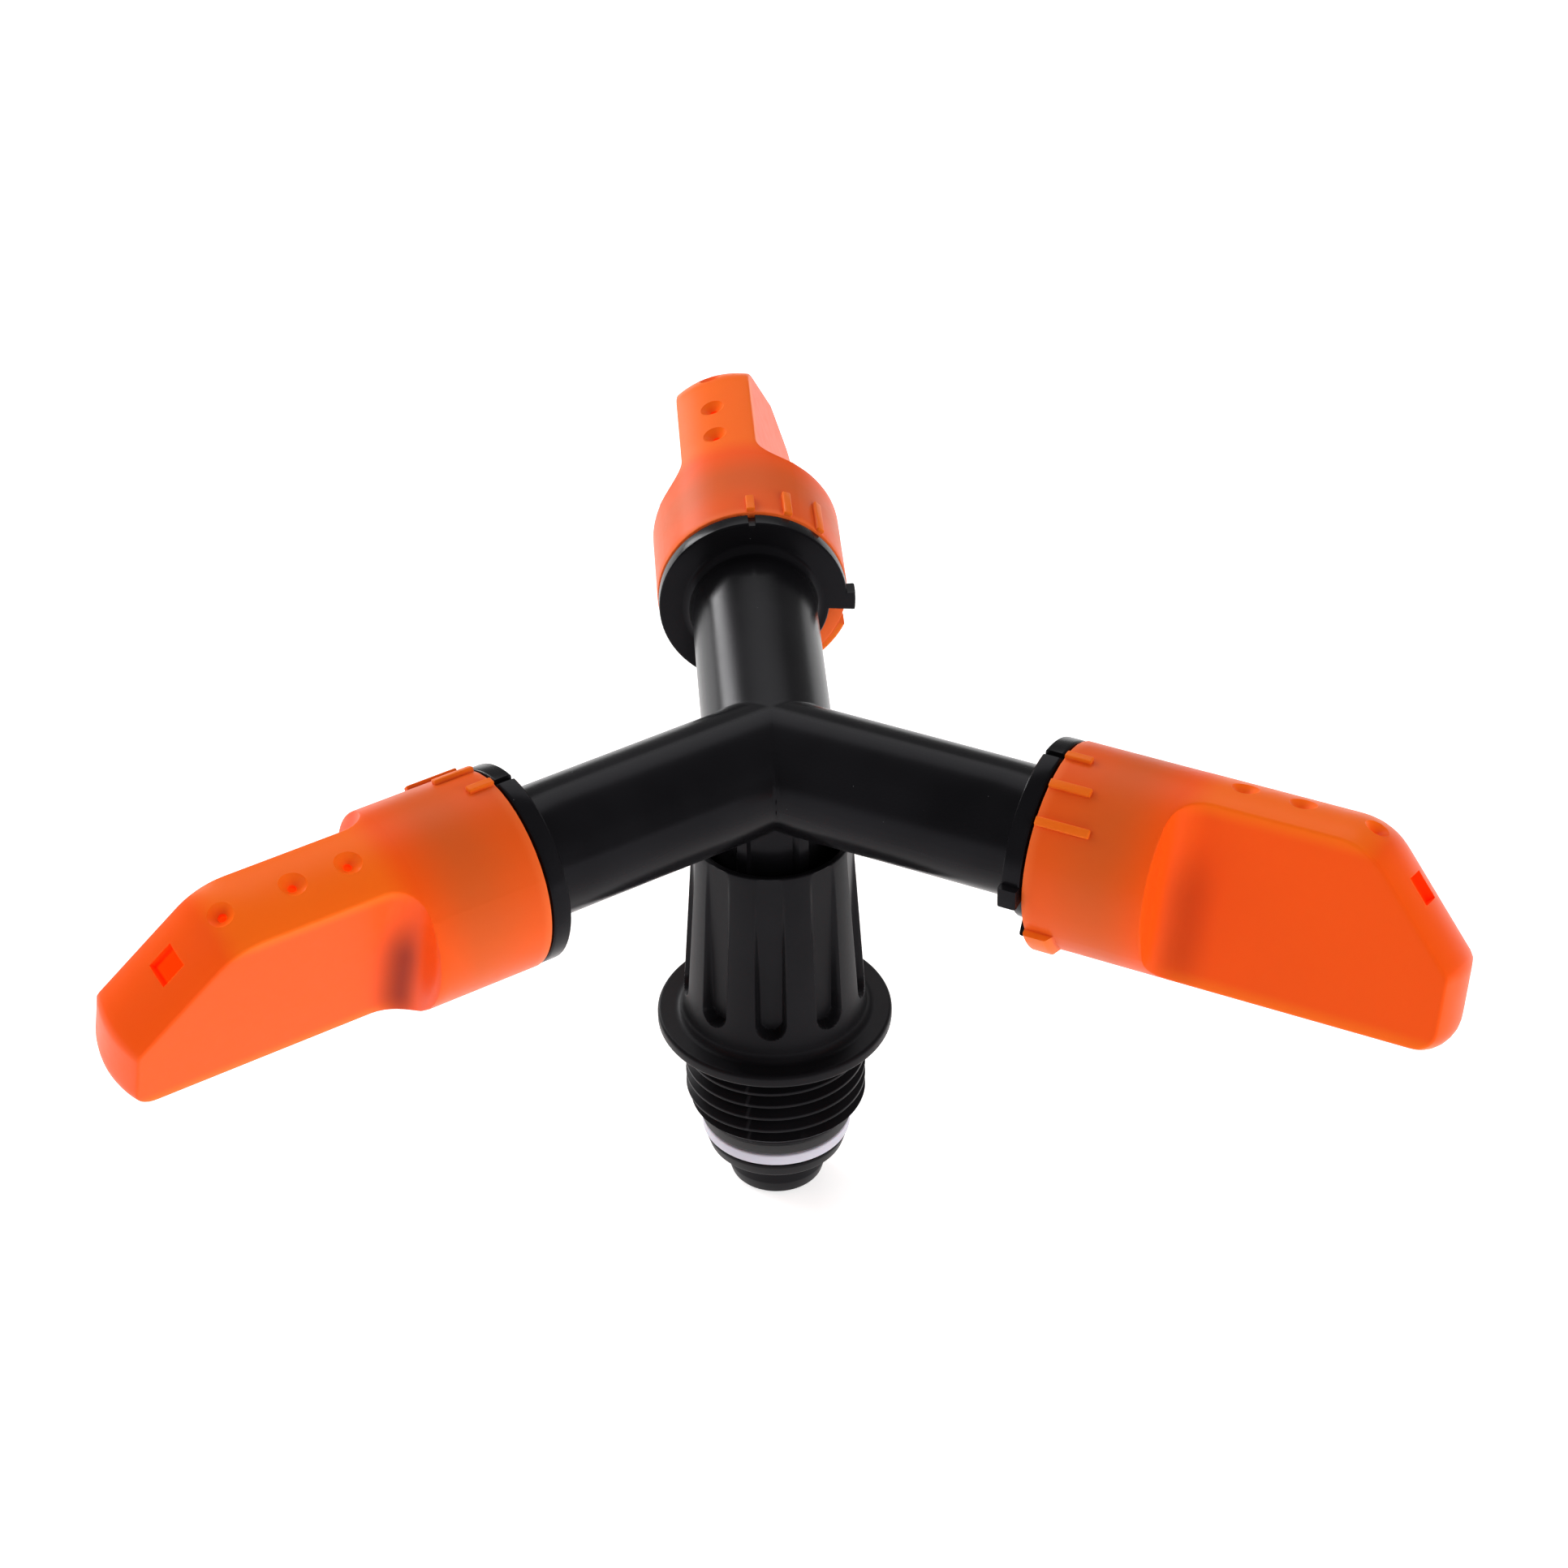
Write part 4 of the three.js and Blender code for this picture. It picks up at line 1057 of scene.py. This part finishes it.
def nozzle_hollow(sizes, tip):
    """The bore for the spigot and the water space behind the outlets."""
    begin, bore_end = NOZZLE_START - 1, sizes.slab_start - BORE_ROOF
    bore = turned_tool([(0, begin), (BORE_RADIUS, begin), (BORE_RADIUS, bore_end), (0, bore_end)],
                       Matrix.Rotation(math.pi / 2, 4, "Y"), COARSE_STEPS)
    shift = WALL * math.tan(sizes.slope / 2)
    back, front = bore_end - SPACE_OVERLAP, tip - WALL
    top, bottom = sizes.radius - WALL, -sizes.radius + WALL + KEEL_WALL
    outline = [(back, top), (crest_place(sizes, tip) - shift, top), (front, RIDGE_END - shift),
               (front, bottom), (back, bottom)]
    half = sizes.slab_width / 2 - WALL
    space = bmesh.new()
    face = space.faces.new([space.verts.new((s, -half, v)) for s, v in outline])
    made = bmesh.ops.extrude_face_region(space, geom=[face])["geom"]
    moved = [item for item in made if isinstance(item, bmesh.types.BMVert)]
    bmesh.ops.translate(space, vec=(0, 2 * half, 0), verts=moved)
    return [bore, cleaned(space)]


def nozzle_tools(sizes, tip):
    """Dimples, jet holes and the square outlet."""
    slope, radius, bend = sizes.slope, sizes.radius, sizes.crest_round
    crest = crest_place(sizes, tip)
    arc_start = crest - bend * math.tan(slope / 2)
    jets = [(sizes.slab_start + place, radius, 0) for place in FLAT_JETS]
    jets.append((arc_start + bend * math.sin(CREST_JET), radius - bend * (1 - math.cos(CREST_JET)),
                 CREST_JET))
    spot = Matrix.Translation((crest + WINDOW_DROP * math.cos(slope), 0,
                               radius - WINDOW_DROP * math.sin(slope)))
    window = block((WINDOW_CUT[0], sizes.window_width, WINDOW_CUT[1]), spot @ Matrix.Rotation(slope, 4, "Y"))
    return [jet_tool(sizes, *jet) for jet in jets] + [window]


def setting_marks(sizes):
    """The three raised setting marks."""
    marks = []
    for degrees, reach in MARKS:
        size = (reach, sizes.mark_width, (sizes.mark_height + MARK_SINK) * 2)
        spot = Matrix.Translation((NOZZLE_START + 0.1 + reach / 2, 0, sizes.radius - MARK_SINK))
        lean = Matrix.Rotation(sizes.lean + math.radians(degrees), 4, "X")
        marks.append(block(size, lean @ spot, bevel=MARK_BEVEL))
    return marks


def stop_lug(sizes):
    """The stop lug on the rim, curved with it, with its sloping outer end."""
    start, low, high = NOZZLE_START + 0.12, sizes.radius - 0.5, sizes.radius + sizes.lug_height
    outline = rounded([(start, low, 0), (start, high, 0.35), (start + LUG_LENGTH[0], high, 0.5),
                       (start + LUG_LENGTH[1], low, 0)])
    begin, sweep = LUG_TURN[0], LUG_TURN[1] - LUG_TURN[0]
    turns = [sizes.lean + math.radians(begin + sweep * i / LUG_STEPS) for i in range(LUG_STEPS + 1)]
    bm = swept([[(x, -r * math.sin(turn), r * math.cos(turn)) for x, r in outline] for turn in turns])
    close_holes(bm)
    return cleaned(bm)


def nozzle_skin(sizes):
    """The whole nozzle, with its depth under the uncut outside and its place along the arm."""
    tip = NOZZLE_TIP + TIP_OVERHANG
    bm = nozzle_shell(sizes, tip)
    skin = BVHTree.FromBMesh(bm)
    for tool in nozzle_hollow(sizes, tip) + nozzle_tools(sizes, tip):
        bm = combined(bm, tool, "DIFFERENCE")
    for mark in setting_marks(sizes) + [stop_lug(sizes)]:
        bm = combined(bm, mark, "UNION")
    bm.verts.layers.float.new("depth")
    bm.verts.layers.float_vector.new("along_arm")
    depth, along = bm.verts.layers.float["depth"], bm.verts.layers.float_vector["along_arm"]
    for vert in bm.verts:
        near, normal, _, gap = skin.find_nearest(vert.co)
        vert[depth] = gap if (vert.co - near).dot(normal) < 0 else -gap
        vert[along] = vert.co
    return bm


# ---- small turned pieces ------------------------------------------------------------------------
def ring_outline(inner, outer, low, high, edge):
    """A closed ring section with rounded outer edges."""
    return rounded([(inner, low, 0), (outer, low, edge), (outer, high, edge), (inner, high, 0)])


def spindle_outline(nose, top):
    """Spindle with its rounded nose, inlet and bore."""
    bore, journal, upper, step = 3.7, 5.86, 4.9, 15.0
    return rounded([(bore, top, 0), (bore, nose + 0.6, 0.3), (bore + 0.5, nose, 0.3),
                    (journal - 0.55, nose, 0.7), (journal, nose + 1.9, 0.9), (journal, step, 0),
                    (upper, step, 0), (upper, top, 0)])


def bush_outline():
    """Bush with its flange and its sleeve."""
    sleeve, low, high = 7.3, BUSH_LOW.z, BUSH_LOW.z + 1.4
    return rounded([(SHAFT_RADIUS, low, 0), (BUSH_HIGH.x, low, 0.2), (BUSH_HIGH.x, high, 0.2),
                    (sleeve, high, 0), (sleeve, BUSH_HIGH.z, 0.3), (SHAFT_RADIUS, BUSH_HIGH.z, 0)])


def nut_outline():
    """Retaining nut with its rounded lower edge."""
    return rounded([(SHAFT_RADIUS, NUT_LOW.z, 0), (NUT_HIGH.x - 0.5, NUT_LOW.z, 0.5),
                    (NUT_HIGH.x, NUT_HIGH.z - 0.4, 0.6), (NUT_HIGH.x, NUT_HIGH.z, 0.15),
                    (SHAFT_RADIUS, NUT_HIGH.z, 0)])


def loop_outline(radius, height, thickness=0.5):
    """Round section of an O-ring, with its first and last points apart by one step."""
    return arc((radius, height), thickness, 0, LOOP_END, LOOP_STEPS)


def turn_piece(outline, steps, name, body, node, material):
    """Makes a piece by turning a closed outline about the stem axis."""
    return finish_piece(spun(outline, steps, closed=True), name, body, [node], material)


# ---- operators ----------------------------------------------------------------------------------
FLOOR_REACH = 4                 # from the middle to each side, in metres
LAMP_AIM = Vector((0, 0, 0.01))
LAMPS = (                       # name, place and size in metres, power in watts, seen in reflections
    ("back_softbox", (-0.05, 0.85, 0.98), (1.3, 0.7), 5.2, True),
    ("strip_softbox", (-0.62, 0.95, 0.40), (0.14, 0.6), 3.3, True),
    ("left_softbox", (-1.0, 0.5, 0.55), (0.6, 0.6), 5.5, False),
    ("near_softbox", (-0.40, -0.12, 0.32), (0.25, 0.25), 0.5, False),
    ("right_softbox", (0.95, -0.7, 0.35), (0.6, 0.6), 7.4, False),
    ("front_softbox", (0.35, -1.2, 0.8), (1.0, 0.8), 0.8, False),
)
SENSOR_WIDTH = 36               # of the camera, in mm
CLIP_START, CLIP_END = 0.01, 20


class Builder:
    """What the operators share."""

    bl_options = {"REGISTER", "UNDO"}

    def group(self, context, name):
        return getattr(context.scene, "sprinkler_" + name)


class SPRINKLER_OT_base(Builder, bpy.types.Operator):
    """Build the threaded base with its fluted body"""

    bl_idname = "sprinkler.base"
    bl_label = "Threaded Base"

    def execute(self, context):
        finish = self.group(context, "finish")
        skin = base_skin(self.group(context, "base"))
        finish_piece(skin, "threaded_base", "base", ["base_body"], body_plastic(finish))
        return {"FINISHED"}


class SPRINKLER_OT_bearing(Builder, bpy.types.Operator):
    """Build the white bush, the sealing ring, the O-ring and the upper washer"""

    bl_idname = "sprinkler.bearing"
    bl_label = "Bearing and Seals"

    def execute(self, context):
        finish = self.group(context, "finish")
        rubber, white = seal_rubber(finish), bush_plastic(finish)
        turn_piece(bush_outline(), FINE_STEPS, "bearing_bush", "base", "flanged_bush", white)
        seal = ring_outline(SEAT_RADIUS, RING_HIGH.x, RING_LOW.z, RING_HIGH.z, 0.3)
        turn_piece(seal, FINE_STEPS, "sealing_ring", "base", "lower_seal_ring", rubber)
        low, high = node_box("stem_o_ring")
        loop = loop_outline(SHAFT_RADIUS + 0.55, (low.z + high.z) / 2)
        turn_piece(loop, COARSE_STEPS, "spindle_o_ring", "base", "stem_o_ring", rubber)
        low, high = node_box("upper_thrust_washer")
        washer = ring_outline(SHAFT_RADIUS, high.x, low.z, high.z, 0.15)
        turn_piece(washer, COARSE_STEPS, "thrust_washer", "base", "upper_thrust_washer",
                   white)
        return {"FINISHED"}


class SPRINKLER_OT_rotor(Builder, bpy.types.Operator):
    """Build the hub with its three arms and the neck"""

    bl_idname = "sprinkler.rotor"
    bl_label = "Three-Armed Rotor"

    def execute(self, context):
        finish = self.group(context, "finish")
        skin = rotor_skin(self.group(context, "rotor"))
        material = black_plastic("glossy_black_plastic", finish, finish.gloss, 1.0)
        finish_piece(skin, "three_arm_rotor", "rotor", ["rotor_spider"], material)
        return {"FINISHED"}


class SPRINKLER_OT_spindle(Builder, bpy.types.Operator):
    """Build the hollow spindle and its retaining nut"""

    bl_idname = "sprinkler.spindle"
    bl_label = "Spindle and Nut"

    def execute(self, context):
        finish = self.group(context, "finish")
        material = black_plastic("stem_black_plastic", finish, 0.42, 0.8)
        spindle = spindle_outline(SPINDLE_LOW.z, SPINDLE_HIGH.z)
        turn_piece(spindle, FINE_STEPS, "hollow_spindle", "rotor", "spindle_tube", material)
        turn_piece(nut_outline(), FINE_STEPS, "spindle_nut", "rotor", "retaining_nut",
                   material)
        return {"FINISHED"}


class SPRINKLER_OT_nozzles(Builder, bpy.types.Operator):
    """Build the three orange spray nozzles and the O-rings behind them"""

    bl_idname = "sprinkler.nozzles"
    bl_label = "Spray Nozzles"

    def execute(self, context):
        finish, sizes = self.group(context, "finish"), self.group(context, "nozzle")
        orange, rubber = nozzle_plastic(finish, sizes), seal_rubber(finish)
        skin = nozzle_skin(sizes)
        seal = spun(loop_outline(SEAL_RADIUS, 0), COARSE_STEPS, closed=True)
        upright = Matrix.Rotation(-sizes.lean, 4, "X")
        onto_spigot = Matrix.Translation((SEAL_PLACE, 0, 0)) @ Matrix.Rotation(math.pi / 2, 4, "Y")
        for name in ARMS:
            place = arm_turn(name)
            finish_piece(copied(skin, place @ upright), "spray_nozzle_" + name, f"nozzle_{name}_body",
                         ["nozzle_" + name], orange)
            finish_piece(copied(seal, place @ onto_spigot), "spigot_o_ring_" + name, "rotor",
                         ["nozzle_seal_" + name], rubber)
        skin.free()
        seal.free()
        return {"FINISHED"}


class SPRINKLER_OT_stage(Builder, bpy.types.Operator):
    """Set up the pale floor, the soft light and the camera"""

    bl_idname = "sprinkler.stage"
    bl_label = "Studio"

    def execute(self, context):
        finish, studio = self.group(context, "finish"), self.group(context, "studio")
        self.lay_floor(finish, CAD_BOX[0][2] - studio.floor_drop * MM)
        self.set_lights(context.scene, finish.sky_light)
        self.set_camera(context.scene, studio)
        return {"FINISHED"}

    def lay_floor(self, finish, height):
        bm = bmesh.new()
        bmesh.ops.create_grid(bm, x_segments=1, y_segments=1, size=FLOOR_REACH)
        bmesh.ops.translate(bm, vec=(0, 0, height), verts=bm.verts)
        floor = as_object(bm, "studio_floor")
        shader = Shader("studio_floor", Roughness=0.9)
        shader.surface.inputs["Base Color"].default_value = (*finish.floor, 1)
        shader.surface.inputs["Emission Color"].default_value = (1, 1, 1, 1)
        shader.surface.inputs["Emission Strength"].default_value = finish.floor_light
        floor.data.materials.append(shader.material)

    def set_lights(self, scene, sky_light):
        world = bpy.data.worlds.new("studio")
        scene.world = world
        world.use_nodes = True
        sky = world.node_tree.nodes["Background"]
        sky.inputs["Color"].default_value = (1, 1, 1, 1)
        sky.inputs["Strength"].default_value = sky_light
        scene.view_settings.view_transform = "Standard"
        for name, place, size, power, shows in LAMPS:
            lamp = bpy.data.lights.new(name, "AREA")
            lamp.shape, lamp.size, lamp.size_y, lamp.energy = "RECTANGLE", size[0], size[1], power
            holder = bpy.data.objects.new(name, lamp)
            scene.collection.objects.link(holder)
            holder.visible_glossy = shows
            holder.location = place
            aim = LAMP_AIM - Vector(place)
            holder.rotation_euler = aim.to_track_quat("-Z", "Y").to_euler()

    def set_camera(self, scene, studio):
        turn = Matrix.Rotation(studio.azimuth, 3, "Z")
        place = turn @ Vector((0, -studio.distance, studio.height)) * MM
        level = math.cos(studio.pitch)
        ahead = turn @ Vector((math.sin(studio.yaw) * level, math.cos(studio.yaw) * level,
                               math.sin(studio.pitch)))
        right = turn @ Vector((math.cos(studio.yaw), -math.sin(studio.yaw), 0))
        roll = Matrix.Rotation(studio.roll, 3, ahead)
        right = roll @ right
        up = right.cross(ahead)
        lens = bpy.data.cameras.new("studio_camera")
        lens.lens, lens.sensor_width = studio.focal, SENSOR_WIDTH
        lens.clip_start, lens.clip_end = CLIP_START, CLIP_END
        camera = bpy.data.objects.new("studio_camera", lens)
        scene.collection.objects.link(camera)
        axes = Matrix((right, up, -ahead)).transposed().to_4x4()
        camera.matrix_world = Matrix.Translation(place) @ axes
        scene.camera = camera


class SPRINKLER_PT_panel(bpy.types.Panel):
    """Lists the pieces of the sprinkler"""

    bl_idname = "SPRINKLER_PT_panel"
    bl_label = "Rotating Sprinkler"
    bl_space_type = "VIEW_3D"
    bl_region_type = "UI"
    bl_category = "Sprinkler"

    def draw(self, context):
        for operator in OPERATORS:
            self.layout.operator(operator.bl_idname)
        for name, group in GROUPS.items():
            box = self.layout.box()
            box.label(text=group.__doc__)
            for key in group.__annotations__:
                box.prop(getattr(context.scene, "sprinkler_" + name), key)


GROUPS = {
    "base": SPRINKLER_PG_base,
    "rotor": SPRINKLER_PG_rotor,
    "nozzle": SPRINKLER_PG_nozzle,
    "finish": SPRINKLER_PG_finish,
    "studio": SPRINKLER_PG_studio,
}
OPERATORS = (
    SPRINKLER_OT_base,
    SPRINKLER_OT_bearing,
    SPRINKLER_OT_rotor,
    SPRINKLER_OT_spindle,
    SPRINKLER_OT_nozzles,
    SPRINKLER_OT_stage,
)


def register():
    for cls in (*GROUPS.values(), *OPERATORS, SPRINKLER_PT_panel):
        bpy.utils.register_class(cls)
    for name, group in GROUPS.items():
        setattr(bpy.types.Scene, "sprinkler_" + name, bpy.props.PointerProperty(type=group))


def unregister():
    for name in GROUPS:
        delattr(bpy.types.Scene, "sprinkler_" + name)
    for cls in (SPRINKLER_PT_panel, *reversed(OPERATORS), *reversed(GROUPS.values())):
        bpy.utils.unregister_class(cls)


def main():
    register()
    bpy.ops.sprinkler.base()
    bpy.ops.sprinkler.bearing()
    bpy.ops.sprinkler.rotor()
    bpy.ops.sprinkler.spindle()
    bpy.ops.sprinkler.nozzles()
    bpy.ops.sprinkler.stage()


if __name__ == "__main__":
    main()
